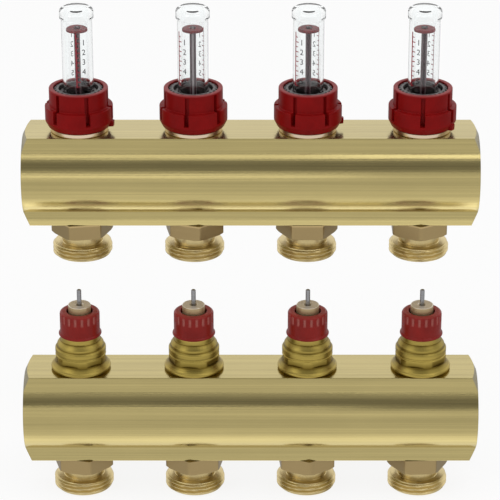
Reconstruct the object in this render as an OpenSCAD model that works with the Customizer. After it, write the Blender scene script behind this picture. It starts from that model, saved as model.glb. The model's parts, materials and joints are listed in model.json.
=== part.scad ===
// Underfloor heating manifold in brass: a supply bar with flow meters and, lower and further forward,
// a return bar with valve inserts. Lengths are in millimetres and angles in degrees.
// X runs along the bars, the front faces -Y, and Z points up.
// The origin lies midway between the two bar axes, at the middle of their length.

/* [Arrangement] */
// Number of heating circuits
circuits = 4; // [2:1:4]
// Distance between neighbouring circuits
pitch = 50; // [42:1:65]
// Height of the supply bar above the return bar, axis to axis
bar_rise = 100; // [75:1:140]
// Distance that the return bar stands in front of the supply bar
bar_setback = 32; // [26:1:60]

/* [Bars] */
// Diameter of the threaded port in each end of a bar
port_d = 33.3; // [28:0.1:42]
// Depth of the threaded port
port_depth = 14; // [10:0.5:14.5]
// Step from the port down to the flow channel
port_step = 1.65; // [1:0.05:3]
// Thinnest wall, between the port and the round front of a bar
port_wall = 1.55; // [1.2:0.05:4]
// Wall between the flow channel and the top or bottom flat
flat_wall = 5.5; // [4:0.1:8]
// Wall beside the holes in the top and bottom flats
hole_wall = 1.4; // [1:0.1:5]
// Slope of the tapered bar ends, from the end face
end_slope = 26; // [15:1:40]
// Width of the broken edges on turned brass
edge_break = 0.4; // [0.2:0.05:0.6]

/* [Outlet nipples] */
// Thread diameter of the pieces screwed into the flats
insert_thread_d = 20.9; // [17:0.1:26]
// Step from that thread out to the flats of the nipple's hexagon
hex_step = 1.55; // [1.2:0.05:3]
// Height of the hexagon
hex_h = 6.9; // [5:0.1:10]
// Outside diameter of the pipe thread
outlet_thread_d = 26.44; // [22:0.02:33]
// Length of the pipe thread
outlet_thread_l = 5.9; // [4.5:0.1:12]
// Length of the relief between hexagon and pipe thread
relief_l = 4.6; // [3:0.1:8]
// Water bore of a nipple
outlet_bore_d = 12.5; // [11.5:0.1:15]
// Wall of the relief around the bore
relief_wall = 2.75; // [1.5:0.05:3.5]
// Mouth of the sealing cone
cone_mouth_d = 20; // [17:0.1:21.5]
// Depth of the sealing cone
cone_depth = 5; // [3:0.1:6]
// Height that a nipple stands up into the flow channel
seat_rise = 1.1; // [0.5:0.1:2]

/* [Flow meters] */
// Outside diameter of the sight glass
glass_d = 13.4; // [11.5:0.1:16.2]
// Wall of the sight glass
glass_wall = 1.3; // [0.9:0.05:1.6]
// Height of the sight glass above the bar
glass_top = 56; // [48:0.5:70]
// Height of the wider cap on the sight glass
cap_h = 5.8; // [4:0.1:9]
// Height of the indicator disc above the bar at full flow
disc_level = 23.6; // [22:0.1:26]
// Diameter of the indicator disc
disc_d = 9.3; // [7:0.1:9.8]
// Diameter of the indicator rod
rod_d = 2.8; // [2:0.1:3.6]
// Thickness of the four fins along the upper part of that rod
fin_w = 0.9; // [0.6:0.1:1.4]
// Travel of the indicator from no flow to full flow
indicator_travel = 22; // [18:0.5:23]
// Outside diameter of the indicator spring
meter_spring_d = 6.4; // [5.4:0.1:7.7]
// Wire of the indicator spring
meter_wire_d = 0.6; // [0.4:0.05:0.8]
// Curls of the indicator spring
meter_curls = 9; // [6:1:12]
// Wall of the threaded hub on the adjusting ring
hub_wall = 1.4; // [1:0.1:2]
// Wall of the throttle sleeve
sleeve_wall = 1.5; // [1:0.1:2]
// Travel of the throttle sleeve from open to shut
throttle_travel = 4; // [2:0.5:5]
// Wall of the meter body's neck
neck_wall = 1.3; // [1:0.1:2]
// Wall of the adjusting ring under its teeth
ring_wall = 1.1; // [0.8:0.1:2]
// Teeth round the adjusting ring
teeth = 24; // [12:12:24]
// Height of those teeth
tooth_h = 0.9; // [0.6:0.1:1.2]
// Wall of the lock collar
collar_wall = 2; // [1.6:0.1:3]
// Extra radius of the lock collar's skirt
skirt_step = 1.95; // [1:0.05:3]
// Height of the lock collar's foot above the bar
collar_foot = 2.5; // [2:0.1:4]
// Height of the lock collar
collar_h = 17.3; // [15.5:0.1:21]
// Height of the skirt on the lock collar
skirt_h = 9.1; // [7:0.1:11]
// Width of the grip slots in the lock collar
slot_w = 1.7; // [1:0.1:2.5]
// Depth of those slots
slot_depth = 1.3; // [0.8:0.1:1.6]

/* [Valve inserts] */
// Diameter of the base flange
valve_flange_d = 26.2; // [25:0.1:32]
// Height of that flange at its edge
valve_flange_h = 1.4; // [1:0.1:2.4]
// Diameter of the collar that an actuator clips on
drum_d = 22.3; // [20.6:0.1:24.5]
// Width across the flats below the collar's groove
drum_flats = 20.8; // [19.6:0.1:22]
// Height of the foot of the actuator collar above the bar
drum_foot = 4; // [3.4:0.1:4.6]
// Height of its groove above the bar
groove_level = 7.2; // [6:0.1:8]
// Depth of that groove
groove_depth = 0.75; // [0.4:0.05:1]
// Height of the top of the actuator collar above the bar
drum_top = 10.6; // [10:0.1:11.5]
// Height of the insert's body above the bar
valve_top = 16.2; // [15.6:0.1:18.5]
// Diameter of the gland
gland_d = 10; // [8.4:0.1:12]
// Height of the gland above the bar
gland_top = 30.3; // [29.4:0.1:36]
// Diameter of the pin
pin_d = 2; // [1.6:0.1:3]
// Height of the pin above the bar
pin_top = 37.3; // [35:0.1:48]
// Travel of the pin from open to shut
pin_travel = 3; // [1.5:0.1:3.5]
// Diameter of the spindle
spindle_d = 5; // [4:0.1:5.4]
// Outside diameter of the valve spring
valve_spring_d = 8.4; // [7.8:0.1:9.4]
// Wire of the valve spring
valve_wire_d = 1; // [0.6:0.05:1.1]
// Curls of the valve spring
valve_curls = 5; // [4:1:6]
// Wall of the presetting sleeve
preset_wall = 1.5; // [1:0.1:2]
// Wall of the presetting ring
preset_ring_wall = 2; // [1.4:0.1:3]
// Height of the presetting ring
preset_ring_h = 10.9; // [10.2:0.1:12]
// Flutes round the shoulder of the presetting ring
flutes = 18; // [12:1:28]
// Bore of the valve seat
seat_bore_d = 8; // [6:0.1:8.6]

/* [Fits] */
// Radial gap of a piece that turns or slides
run_gap = 0.2; // [0.1:0.02:0.3]
// Gap between neighbours that never touch
part_gap = 0.3; // [0.2:0.05:0.5]
// Radial gap of a piece that is screwed or pressed in
seat_gap = 0.05; // [0.02:0.01:0.1]
// Radial gap of a thread in its hole
thread_gap = 0.15; // [0.1:0.01:0.25]

/* [Hidden] */
$fn = 72;
eps = 0.01;
// How far a cut runs past a face, and how far a rib or tooth reaches into what carries it
over = 1;
root = 0.4;
stations = [1 : circuits];

// Bars
channel_d = port_d - 2 * port_step;
round_d = port_d + 2 * port_wall;
bar_h = channel_d + 2 * flat_wall;
hole_d = insert_thread_d + 2 * thread_gap;
flat_w = hole_d + 2 * hole_wall;
bar_l = circuits * pitch;
end_face_step = 0.2;
end_face_r = round_d / 2 - end_face_step;
port_mouth_r = (port_d / 2 + end_face_r) / 2;
supply_axis = [0, bar_setback / 2, bar_rise / 2];
return_axis = -supply_axis;

// Heights from here on are measured from the axis of the piece's own bar
top_z = bar_h / 2;
seat_z = seat_rise - channel_d / 2;
shank_reach = 0.6;
shank_foot_z = channel_d / 2 - shank_reach;

// Outlet nipples
hex_af = insert_thread_d + 2 * hex_step;
hex_foot_z = -top_z - hex_h;
thread_top_z = hex_foot_z - relief_l;
nipple_foot_z = thread_top_z - outlet_thread_l;
thread_bevel = 0.9;
hex_bevel = 1.1;
seat_l = 3.2;
supply_hex_turn = [39, 10, 30, 0];
return_hex_turn = [15, 50, 5, 33];
seal_h = 0.9;
seal_r0 = insert_thread_d / 2 + thread_gap;
seal_w = 1.05;
seal_r1 = seal_r0 + seal_w;

// Flow meter, from the middle outwards
hub_bore_r = meter_spring_d / 2 + 2 * part_gap;
hub_r = hub_bore_r + hub_wall;
sleeve_bore_r = hub_r + run_gap;
sleeve_r = sleeve_bore_r + sleeve_wall;
body_bore_r = sleeve_r + run_gap;
neck_r = body_bore_r + neck_wall;
ring_bore_r = neck_r + run_gap;
ring_root_r = ring_bore_r + ring_wall;
tooth_r = ring_root_r + tooth_h;
collar_bore_r = tooth_r + part_gap;
collar_r = collar_bore_r + collar_wall;
skirt_r = collar_r + skirt_step;
meter_flange_r = collar_r - part_gap;
glass_r = glass_d / 2;
cap_step = 0.65;
cap_r = glass_r + cap_step;
cap_round = 2.4;
crown = 1.6;
socket_wall = 1.25;
socket_r = glass_r + seat_gap + socket_wall;
plate_r = sleeve_bore_r - 2 * part_gap;
guide_r = rod_d / 2 + run_gap;

// Flow meter, from the bar upwards
meter_flange_h = 2.2;
collar_foot_z = top_z + collar_foot;
collar_top_z = collar_foot_z + collar_h;
ring_rise = 0.8;
ring_foot_z = top_z + meter_flange_h + ring_rise;
ring_sink = 0.4;
ring_top_z = collar_top_z - ring_sink;
socket_depth = 6.7;
web_top_z = ring_top_z - socket_depth;
web_h = 2.2;
web_foot_z = web_top_z - web_h;
socket_sink = 1.4;
socket_top_z = ring_top_z - socket_sink;
neck_top_z = web_foot_z - part_gap;
sleeve_headroom = 1;
sleeve_top_z = web_foot_z - sleeve_headroom;
hub_grip = 10;
hub_foot_z = sleeve_top_z - hub_grip;
sleeve_foot_z = seat_z + throttle_travel + run_gap;
sleeve_web_rise = 2.7;
sleeve_web_z = sleeve_foot_z + sleeve_web_rise;
sleeve_web_h = 2;
rod_collar_rise = 0.8;
rod_collar_z = web_top_z + rod_collar_rise;
rod_collar_h = 1;
plate_rise = 1.3;
plate_z = seat_z + plate_rise;
plate_h = 1.2;
disc_z = top_z + disc_level + indicator_travel;
disc_h = 1.2;
disc_bevel = 0.3;
rod_tip = 0.5;
rod_tip_z = disc_z + disc_h + rod_tip;
rod_turn = [45, 0, 45, 45];
glass_top_z = top_z + glass_top;

// Keys that hold the throttle sleeve from turning
key_w = 2;
key_depth = 1.1;
key_r = sleeve_r + key_depth;
key_rise = 1.8;
key_z = shank_foot_z + key_rise;
key_h = 4.5;

// Lock collar: grip slots every sixth of a turn, ribs in the tooth gaps halfway between them
slot_count = 6;
slot_floor_r = collar_r - slot_depth;
slot_rise = 3.7;
slot_foot_z = collar_foot_z + slot_rise;
slot_sink = 1;
slot_top_z = collar_top_z - slot_sink;
skirt_top_z = collar_foot_z + skirt_h;
collar_bevel = 1.3;
lip_h = 0.9;
lip_w = 0.8;
lip_crest = 0.2;
rib_w = 0.8;
rib_foot = 1.5;
rib_sink = 2;
tooth_w = 1.25;
lug_out = 0.8;
lug_r = skirt_r + lug_out;
lug_w = 2.6;
lug_h = 2.4;
lug_foot = 0.3;
collar_turn = [-11, 79, 3, -33];

// Valve insert, from the middle outwards
preset_bore_r = gland_d / 2 + run_gap;
preset_r = preset_bore_r + preset_wall;
valve_bore_r = preset_r + run_gap;
preset_ring_r = preset_r + seat_gap + preset_ring_wall;
strip_step = 0.25;
valve_top_r = preset_ring_r - strip_step;
spindle_guide_r = spindle_d / 2 + run_gap;
cone_r = preset_bore_r - part_gap;
cone_seal_step = 0.1;
cone_seal_r = cone_r - cone_seal_step;
rivet_r = 1.5;
rivet_head_r = 2.4;
rivet_head_h = 0.8;

// Valve insert, from the bar upwards
flange_edge_z = top_z + valve_flange_h;
flange_lead = 0.7;
flange_bevel = 0.8;
drum_foot_z = top_z + drum_foot;
drum_foot_h = 0.7;
drum_foot_w = 0.5;
groove_z = top_z + groove_level;
groove_w = 1.1;
groove_slope = 0.3;
flat_ends = 0.3;
drum_top_z = top_z + drum_top;
drum_bevel = 0.5;
step_w = 0.4;
step_h = 0.9;
strip_h = 2.2;
valve_top_z = top_z + valve_top;
shoulder_z = valve_top_z - strip_h;
preset_foot_z = valve_top_z + run_gap;
preset_top_z = preset_foot_z + preset_ring_h;
preset_round = 2.6;
preset_flare = 0.65;
preset_flare_h = 0.6;
preset_sleeve_rise = 6.8;
preset_sleeve_top_z = valve_top_z + preset_sleeve_rise;
preset_lip_rise = 1.9;
preset_lip_z = preset_sleeve_top_z + preset_lip_rise;
preset_mouth_gap = 0.75;
preset_mouth_r = gland_d / 2 + preset_mouth_gap;
gland_flange_h = 1;
gland_flange_w = 0.8;
gland_shank_l = 5;
gland_lead = 0.6;
gland_top_z = top_z + gland_top;
pin_top_z = top_z + pin_top;
pin_bevel = 0.25;
spindle_sink = 2.6;
spindle_top_z = valve_top_z - spindle_sink;
valve_collar_sink = 0.6;
valve_collar_z = drum_foot_z - valve_collar_sink;
valve_collar_h = 1.5;
cone_seal_h = 1.5;
cone_seal_z = seat_z + pin_travel + run_gap;
cone_z = cone_seal_z + cone_seal_h;
cone_h = 2.4;
preset_sleeve_foot_z = seat_z + part_gap;
web_over_cone = 8.5;
preset_web_z = cone_z + cone_h + web_over_cone;
preset_web_h = 2;
window_over_cone = 2;
window_z = cone_z + cone_h + window_over_cone;
window_slope = 12;
flute_r = 0.55;
flute_lean = 32;
flute_out = 0.25;
flute_foot = 1.2;
flute_l = 6;
drum_turn = [8, 22, 0, 14];

// Springs: rings along each curl and sides round the wire
curl_rings = 8;
wire_sides = 6;
spring_seat = 0.15;

FIXED_NODES = [
    "supply_bar", "return_bar", "supply_nipples", "return_nipples", "nipple_seals",
    "meter_bodies", "valve_bodies", "insert_seals", "meter_springs", "valve_springs"
];
STATION_NODES = [
    "adjusting_ring", "sight_glass", "lock_collar", "throttle_sleeve", "indicator_rod", "indicator_disc",
    "preset_ring", "preset_sleeve", "gland_nut", "valve_pin", "valve_spindle", "cone_seal"
];

// Places and basic shapes

function station_x(i) = (i - (circuits + 1) / 2) * pitch;

module on_bar(axis, i) {
    translate(axis + [station_x(i), 0, 0])
        children();
}

module every_station(axis) {
    for (i = stations)
        on_bar(axis, i)
            children();
}

// A cylinder from one height to another
module rod(r, z0, z1) {
    translate([0, 0, z0])
        cylinder(r = r, h = z1 - z0);
}

// A tube from one height to another
module tube(r0, r1, z0, z1) {
    rotate_extrude()
        translate([r0, z0])
            square([r1 - r0, z1 - z0]);
}

// A turned solid from an outline of radius and height
module turned(outline) {
    rotate_extrude()
        polygon(outline);
}

// A straight bar of the given width that reaches from one radius to another, at the given angle
module spoke(angle, r0, r1, w, z0, z1) {
    rotate([0, 0, angle])
        translate([r0, -w / 2, z0])
            cube([r1 - r0, w, z1 - z0]);
}

// A hexagonal prism whose corners are turned down at both ends
module turned_hex(af, z0, z1, bevel) {
    corner_r = af / 2 / cos(30);
    slope = bevel * tan(30);
    intersection() {
        translate([0, 0, z0])
            cylinder(r = corner_r, h = z1 - z0, $fn = 6);
        turned([
            [0, z0], [corner_r - bevel, z0], [corner_r + eps, z0 + slope],
            [corner_r + eps, z1], [0, z1]
        ]);
    }
}

// Springs

function coil_centre(r, rise, k) =
    let (a = 360 * k / curl_rings)
    [r * cos(a), r * sin(a), rise * k / curl_rings];

function coil_ring(r, rise, wire_d, k) =
    let (
        a = 360 * k / curl_rings,
        out = [cos(a), sin(a), 0],
        run = [-2 * PI * r * sin(a), 2 * PI * r * cos(a), rise],
        side = cross(run / norm(run), out)
    )
    [for (s = [0 : wire_sides - 1])
        let (b = 360 * s / wire_sides)
        coil_centre(r, rise, k) + wire_d / 2 * (cos(b) * out + sin(b) * side)];

function coil_faces(last) =
    let (n = wire_sides)
    concat(
        [for (s = [1 : n - 2]) [0, s, s + 1]],
        [for (k = [0 : last - 1], s = [0 : n - 1], half = [0, 1])
            let (p = k * n + s, q = k * n + (s + 1) % n)
            half == 0 ? [p, p + n, q] : [q, p + n, q + n]],
        [for (s = [1 : n - 2]) [last * n, last * n + s + 1, last * n + s]]
    );

// Least gap between one curl and the next, over the ring centres
function coil_gap(r, rise, wire_d, curls) =
    min([for (k = [0 : curls * curl_rings - curl_rings / 2], j = [k + curl_rings / 2 : curls * curl_rings])
        norm(coil_centre(r, rise, j) - coil_centre(r, rise, k))]) - wire_d;

// Rise of one curl when the wire fills the space between two seats
function coil_rise(z0, z1, wire_d, curls) = (z1 - z0 - wire_d - 2 * spring_seat) / curls;

// A compression spring between two seats
module spring(outer_d, wire_d, curls, z0, z1) {
    r = (outer_d - wire_d) / 2;
    rise = coil_rise(z0, z1, wire_d, curls);
    last = curls * curl_rings;
    translate([0, 0, z0 + spring_seat + wire_d / 2])
        polyhedron(
            points = [for (k = [0 : last]) each coil_ring(r, rise, wire_d, k)],
            faces = coil_faces(last),
            convexity = 10
        );
}

// Brass bars

// Outline of the flat-sided block, with broken corners
module block_outline() {
    half_w = flat_w / 2;
    half_h = bar_h / 2;
    polygon([
        for (sx = [-1, 1], sz = [sx, -sx], last = [0, 1])
            let (on_side = sx == sz ? last == 1 : last == 0)
            [sx * (half_w - (on_side ? 0 : edge_break)), sz * (half_h - (on_side ? edge_break : 0))]
    ]);
}

// A cylinder along the bar
module along_bar(d, l) {
    rotate([0, 90, 0])
        cylinder(d = d, h = l, center = true);
}

// Everything inside the tapered ends of a bar
module bar_ends() {
    reach = norm([flat_w, bar_h]) / 2 + over;
    fall = (reach - end_face_r) * tan(end_slope);
    half_l = bar_l / 2;
    rotate([0, 90, 0])
        turned([
            [0, -half_l], [end_face_r, -half_l], [reach, fall - half_l],
            [reach, half_l - fall], [end_face_r, half_l], [0, half_l]
        ]);
}

module port(side) {
    lead = port_mouth_r - port_d / 2;
    mirror([side < 0 ? 1 : 0, 0, 0])
        translate([bar_l / 2, 0, 0])
            rotate([0, -90, 0]) {
                translate([0, 0, -over])
                    cylinder(d = port_d, h = port_depth + over);
                translate([0, 0, -eps])
                    cylinder(r1 = port_mouth_r + eps, r2 = port_d / 2, h = lead + eps);
            }
}

module bar() {
    difference() {
        intersection() {
            union() {
                rotate([90, 0, 90])
                    linear_extrude(height = bar_l, center = true)
                        block_outline();
                along_bar(round_d, bar_l);
            }
            bar_ends();
        }
        along_bar(channel_d, bar_l + 2 * over);
        for (side = [-1, 1])
            port(side);
        for (i = stations)
            translate([station_x(i), 0, 0])
                cylinder(d = hole_d, h = bar_h + 2 * over, center = true);
    }
}

module supply_bar() {
    color([0.72, 0.62, 0.36])
        translate(supply_axis)
            bar();
}

module return_bar() {
    color([0.72, 0.62, 0.36])
        translate(return_axis)
            bar();
}

// Outlet nipples

module nipple(bore_at_seat_d) {
    thread_r = outlet_thread_d / 2;
    relief_r = outlet_bore_d / 2 + relief_wall;
    difference() {
        union() {
            rod(insert_thread_d / 2, -top_z - over, seat_z);
            turned_hex(hex_af, hex_foot_z, -top_z, hex_bevel);
            rod(relief_r, thread_top_z - over, hex_foot_z + over);
            turned([
                [0, nipple_foot_z], [thread_r - thread_bevel, nipple_foot_z],
                [thread_r, nipple_foot_z + thread_bevel], [thread_r, thread_top_z - thread_bevel / 2],
                [thread_r - thread_bevel / 2, thread_top_z], [0, thread_top_z]
            ]);
        }
        rod(bore_at_seat_d / 2, seat_z - seat_l - over, seat_z + over);
        rod(outlet_bore_d / 2, nipple_foot_z - over, seat_z - seat_l);
        translate([0, 0, nipple_foot_z - eps])
            cylinder(r1 = cone_mouth_d / 2, r2 = outlet_bore_d / 2, h = cone_depth);
        tube(insert_thread_d / 2, seal_r1, -top_z - seal_h, -top_z + over);
    }
}

module supply_nipples() {
    color([0.78, 0.6, 0.3])
        for (i = stations)
            on_bar(supply_axis, i)
                rotate([0, 0, supply_hex_turn[i - 1]])
                    nipple(outlet_bore_d);
}

module return_nipples() {
    color([0.78, 0.6, 0.3])
        for (i = stations)
            on_bar(return_axis, i)
                rotate([0, 0, return_hex_turn[i - 1]])
                    nipple(seat_bore_d);
}

module nipple_seals() {
    color([0.12, 0.12, 0.13])
        for (axis = [supply_axis, return_axis])
            every_station(axis)
                tube(seal_r0, seal_r1 - seat_gap, -top_z - seal_h, -top_z);
}

module insert_seals() {
    color([0.12, 0.12, 0.13])
        for (axis = [supply_axis, return_axis])
            every_station(axis)
                tube(seal_r0, seal_r1 - seat_gap, top_z, top_z + seal_h);
}

// Flow meters

module meter_body() {
    flange_top_z = top_z + meter_flange_h;
    difference() {
        union() {
            rod(insert_thread_d / 2, shank_foot_z, top_z + over);
            turned([
                [0, top_z], [meter_flange_r - edge_break, top_z], [meter_flange_r, top_z + edge_break],
                [meter_flange_r, flange_top_z - edge_break], [meter_flange_r - edge_break, flange_top_z],
                [0, flange_top_z]
            ]);
            rod(neck_r, top_z, neck_top_z);
        }
        rod(body_bore_r, shank_foot_z - over, neck_top_z + over);
        for (angle = [0, 180])
            spoke(angle, 0, key_r + run_gap, key_w + 2 * run_gap,
                shank_foot_z - over, key_z + key_h + run_gap);
        tube(insert_thread_d / 2, seal_r1, top_z - over, top_z + seal_h);
    }
}

module meter_bodies() {
    color([0.8, 0.68, 0.45])
        every_station(supply_axis)
            meter_body();
}

module meter_springs() {
    color([0.7, 0.71, 0.73])
        every_station(supply_axis)
            spring(meter_spring_d, meter_wire_d, meter_curls, sleeve_web_z + sleeve_web_h, rod_collar_z);
}

module throttle_sleeve(i) {
    color([0.2, 0.2, 0.21])
        on_bar(supply_axis, i) {
            tube(sleeve_bore_r, sleeve_r, sleeve_foot_z, sleeve_top_z);
            tube(guide_r, sleeve_bore_r + eps, sleeve_web_z, sleeve_web_z + sleeve_web_h);
            for (angle = [0, 180])
                spoke(angle, sleeve_r - root, key_r, key_w, key_z, key_z + key_h);
        }
}

module adjusting_ring(i) {
    color([0.16, 0.15, 0.16])
        on_bar(supply_axis, i)
            rotate([0, 0, collar_turn[i - 1]]) {
                tube(hub_bore_r, hub_r, hub_foot_z, web_foot_z + eps);
                tube(hub_bore_r, ring_root_r, web_foot_z, web_top_z);
                tube(glass_r + seat_gap, socket_r, web_top_z - eps, socket_top_z);
                tube(ring_bore_r, ring_root_r, ring_foot_z, ring_top_z);
                for (k = [0 : teeth - 1])
                    spoke((k + 0.5) * 360 / teeth, ring_root_r - root, tooth_r, tooth_w,
                        ring_foot_z, ring_top_z);
            }
}

module lock_collar(i) {
    foot = collar_foot_z;
    outline = [
        [collar_bore_r, foot], [skirt_r - collar_bevel, foot], [skirt_r, foot + 2 * collar_bevel],
        [skirt_r, skirt_top_z], [skirt_r - lip_w / 2, skirt_top_z + lip_crest],
        [skirt_r - lip_w, skirt_top_z - lip_h], [collar_r, skirt_top_z - lip_h],
        [collar_r, collar_top_z - 2 * edge_break],
        [collar_r - edge_break, collar_top_z], [collar_bore_r, collar_top_z]
    ];
    color([0.52, 0.07, 0.08])
        on_bar(supply_axis, i)
            rotate([0, 0, collar_turn[i - 1]]) {
                difference() {
                    union() {
                        turned(outline);
                        spoke(0, collar_r, lug_r, lug_w, foot + lug_foot, foot + lug_foot + lug_h);
                    }
                    for (k = [0 : slot_count - 1])
                        spoke(k * 360 / slot_count, slot_floor_r, lug_r + over, slot_w,
                            slot_foot_z, slot_top_z);
                }
                for (k = [0 : slot_count - 1])
                    spoke((k + 0.5) * 360 / slot_count, ring_root_r + part_gap, collar_bore_r + root, rib_w,
                        foot + rib_foot, collar_top_z - rib_sink);
            }
}

module sight_glass(i) {
    inside_r = glass_r - glass_wall;
    inside_top_z = glass_top_z - crown;
    cap_foot_z = glass_top_z - cap_h;
    round_z = glass_top_z - cap_round;
    round_r = cap_r - cap_round;
    color([0.86, 0.9, 0.92, 0.4])
        on_bar(supply_axis, i)
            difference() {
                rotate_extrude() {
                    polygon([
                        [0, web_top_z], [glass_r, web_top_z], [glass_r, cap_foot_z - cap_step],
                        [cap_r, cap_foot_z], [cap_r, round_z], [0, round_z]
                    ]);
                    translate([0, round_z - eps])
                        square([round_r, cap_round + eps]);
                    intersection() {
                        translate([round_r, round_z])
                            circle(r = cap_round);
                        translate([0, round_z - eps])
                            square([cap_r + over, cap_round + over]);
                    }
                }
                rod(inside_r, web_top_z - over, inside_top_z);
            }
}

module indicator_rod(i) {
    color([0.3, 0.2, 0.22])
        on_bar(supply_axis, i) {
            rod(rod_d / 2, plate_z, rod_collar_z + rod_collar_h);
            rod(plate_r, plate_z, plate_z + plate_h);
            rod(meter_spring_d / 2, rod_collar_z, rod_collar_z + rod_collar_h);
            intersection() {
                rod(rod_d / 2, rod_collar_z, rod_tip_z);
                for (angle = [0, 90])
                    spoke(rod_turn[i - 1] + angle, -rod_d, rod_d, fin_w, rod_collar_z, rod_tip_z);
            }
        }
}

module indicator_disc(i) {
    hole_r = rod_d / 2 + seat_gap;
    rim_r = disc_d / 2;
    color([0.7, 0.1, 0.12])
        on_bar(supply_axis, i)
            turned([
                [hole_r, disc_z], [rim_r - disc_bevel, disc_z], [rim_r, disc_z + disc_bevel],
                [rim_r, disc_z + disc_h - disc_bevel], [rim_r - disc_bevel, disc_z + disc_h],
                [hole_r, disc_z + disc_h]
            ]);
}

// Valve inserts

module valve_body(i) {
    flange_r = valve_flange_d / 2;
    drum_r = drum_d / 2;
    groove_r = drum_r - groove_depth;
    step_r = drum_r - drum_bevel - step_w;
    step_z = drum_top_z + drum_bevel;
    difference() {
        union() {
            rod(insert_thread_d / 2, shank_foot_z, top_z + over);
            turned([
                [0, top_z], [flange_r - flange_lead, top_z], [flange_r, flange_edge_z - flange_lead],
                [flange_r, flange_edge_z], [flange_r - flange_bevel, flange_edge_z + flange_bevel],
                [drum_r + drum_foot_w, drum_foot_z - drum_foot_h], [drum_r, drum_foot_z],
                [drum_r, groove_z], [groove_r, groove_z + groove_slope],
                [groove_r, groove_z + groove_w - groove_slope], [drum_r, groove_z + groove_w],
                [drum_r, drum_top_z - drum_bevel], [drum_r - drum_bevel, drum_top_z], [step_r, step_z],
                [step_r, step_z + step_h], [step_r - 1.5 * step_w, step_z + 2 * step_h],
                [valve_top_r + strip_step, shoulder_z], [valve_top_r, shoulder_z + strip_step],
                [valve_top_r, valve_top_z - edge_break], [valve_top_r - edge_break, valve_top_z],
                [0, valve_top_z]
            ]);
        }
        rod(valve_bore_r, shank_foot_z - over, valve_top_z + over);
        for (k = [0 : 5])
            spoke(k * 60 + drum_turn[i - 1], drum_flats / 2, drum_r + over, drum_d,
                drum_foot_z + flat_ends, groove_z - flat_ends);
        tube(insert_thread_d / 2, seal_r1, top_z - over, top_z + seal_h);
    }
}

module valve_bodies() {
    color([0.66, 0.55, 0.25])
        for (i = stations)
            on_bar(return_axis, i)
                valve_body(i);
}

module valve_springs() {
    color([0.7, 0.71, 0.73])
        every_station(return_axis)
            spring(valve_spring_d, valve_wire_d, valve_curls, preset_web_z + preset_web_h, valve_collar_z);
}

module preset_sleeve(i) {
    window_reach = preset_r + window_z - preset_sleeve_foot_z;
    color([0.72, 0.6, 0.3])
        on_bar(return_axis, i) {
            difference() {
                tube(preset_bore_r, preset_r, preset_sleeve_foot_z, preset_sleeve_top_z);
                translate([0, 0, window_z])
                    rotate([0, window_slope, 0])
                        translate([-window_reach, -window_reach, -window_reach])
                            cube([2 * window_reach, window_reach, window_reach]);
            }
            tube(spindle_guide_r, preset_bore_r + eps, preset_web_z, preset_web_z + preset_web_h);
        }
}

module preset_ring(i) {
    r = preset_ring_r;
    foot_r = r + preset_flare;
    round_z = preset_top_z - preset_round;
    color([0.5, 0.1, 0.11])
        on_bar(return_axis, i)
            difference() {
                rotate_extrude()
                    difference() {
                        union() {
                            polygon([
                                [0, preset_foot_z], [foot_r, preset_foot_z],
                                [foot_r, preset_foot_z + preset_flare_h],
                                [r, preset_foot_z + preset_flare_h + preset_flare],
                                [r, round_z], [0, round_z]
                            ]);
                            translate([0, round_z - eps])
                                square([r - preset_round, preset_round + eps]);
                            intersection() {
                                translate([r - preset_round, round_z])
                                    circle(r = preset_round);
                                translate([0, round_z - eps])
                                    square([r + over, preset_round + over]);
                            }
                        }
                        translate([-eps, preset_foot_z - over])
                            square([preset_r + seat_gap + eps, preset_lip_z - preset_foot_z + over]);
                        translate([-eps, preset_foot_z])
                            square([preset_mouth_r + eps, preset_top_z]);
                    }
                for (k = [0 : flutes - 1])
                    rotate([0, 0, k * 360 / flutes])
                        translate([r, 0, round_z])
                            rotate([0, -flute_lean, 0])
                                translate([flute_out, 0, -flute_foot])
                                    cylinder(r = flute_r, h = flute_l);
            }
}

module gland_nut(i) {
    hole_r = pin_d / 2 + run_gap;
    head_r = gland_d / 2;
    shank_r = preset_bore_r - seat_gap;
    flange_r = preset_bore_r + gland_flange_w;
    seat = preset_sleeve_top_z;
    color([0.83, 0.75, 0.52])
        on_bar(return_axis, i)
            turned([
                [hole_r, seat - gland_shank_l], [shank_r, seat - gland_shank_l], [shank_r, seat],
                [flange_r, seat], [flange_r, seat + gland_flange_h], [head_r, seat + gland_flange_h],
                [head_r, gland_top_z - edge_break], [head_r - edge_break, gland_top_z],
                [hole_r + gland_lead, gland_top_z], [hole_r, gland_top_z - gland_lead]
            ]);
}

module valve_pin(i) {
    r = pin_d / 2;
    color([0.55, 0.56, 0.57])
        on_bar(return_axis, i)
            turned([
                [0, spindle_top_z], [r, spindle_top_z], [r, pin_top_z - pin_bevel],
                [r - pin_bevel, pin_top_z], [0, pin_top_z]
            ]);
}

module valve_spindle(i) {
    rivet_foot_z = cone_seal_z - rivet_head_h;
    color([0.76, 0.63, 0.33])
        on_bar(return_axis, i) {
            rod(spindle_d / 2, cone_z, spindle_top_z);
            rod(valve_spring_d / 2, valve_collar_z, valve_collar_z + valve_collar_h);
            rod(cone_r, cone_z, cone_z + cone_h);
            rod(rivet_r, rivet_foot_z, cone_z + eps);
            rod(rivet_head_r, rivet_foot_z, cone_seal_z);
        }
}

module cone_seal(i) {
    color([0.1, 0.1, 0.11])
        on_bar(return_axis, i)
            tube(rivet_r + seat_gap, cone_seal_r, cone_seal_z, cone_z);
}

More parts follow.
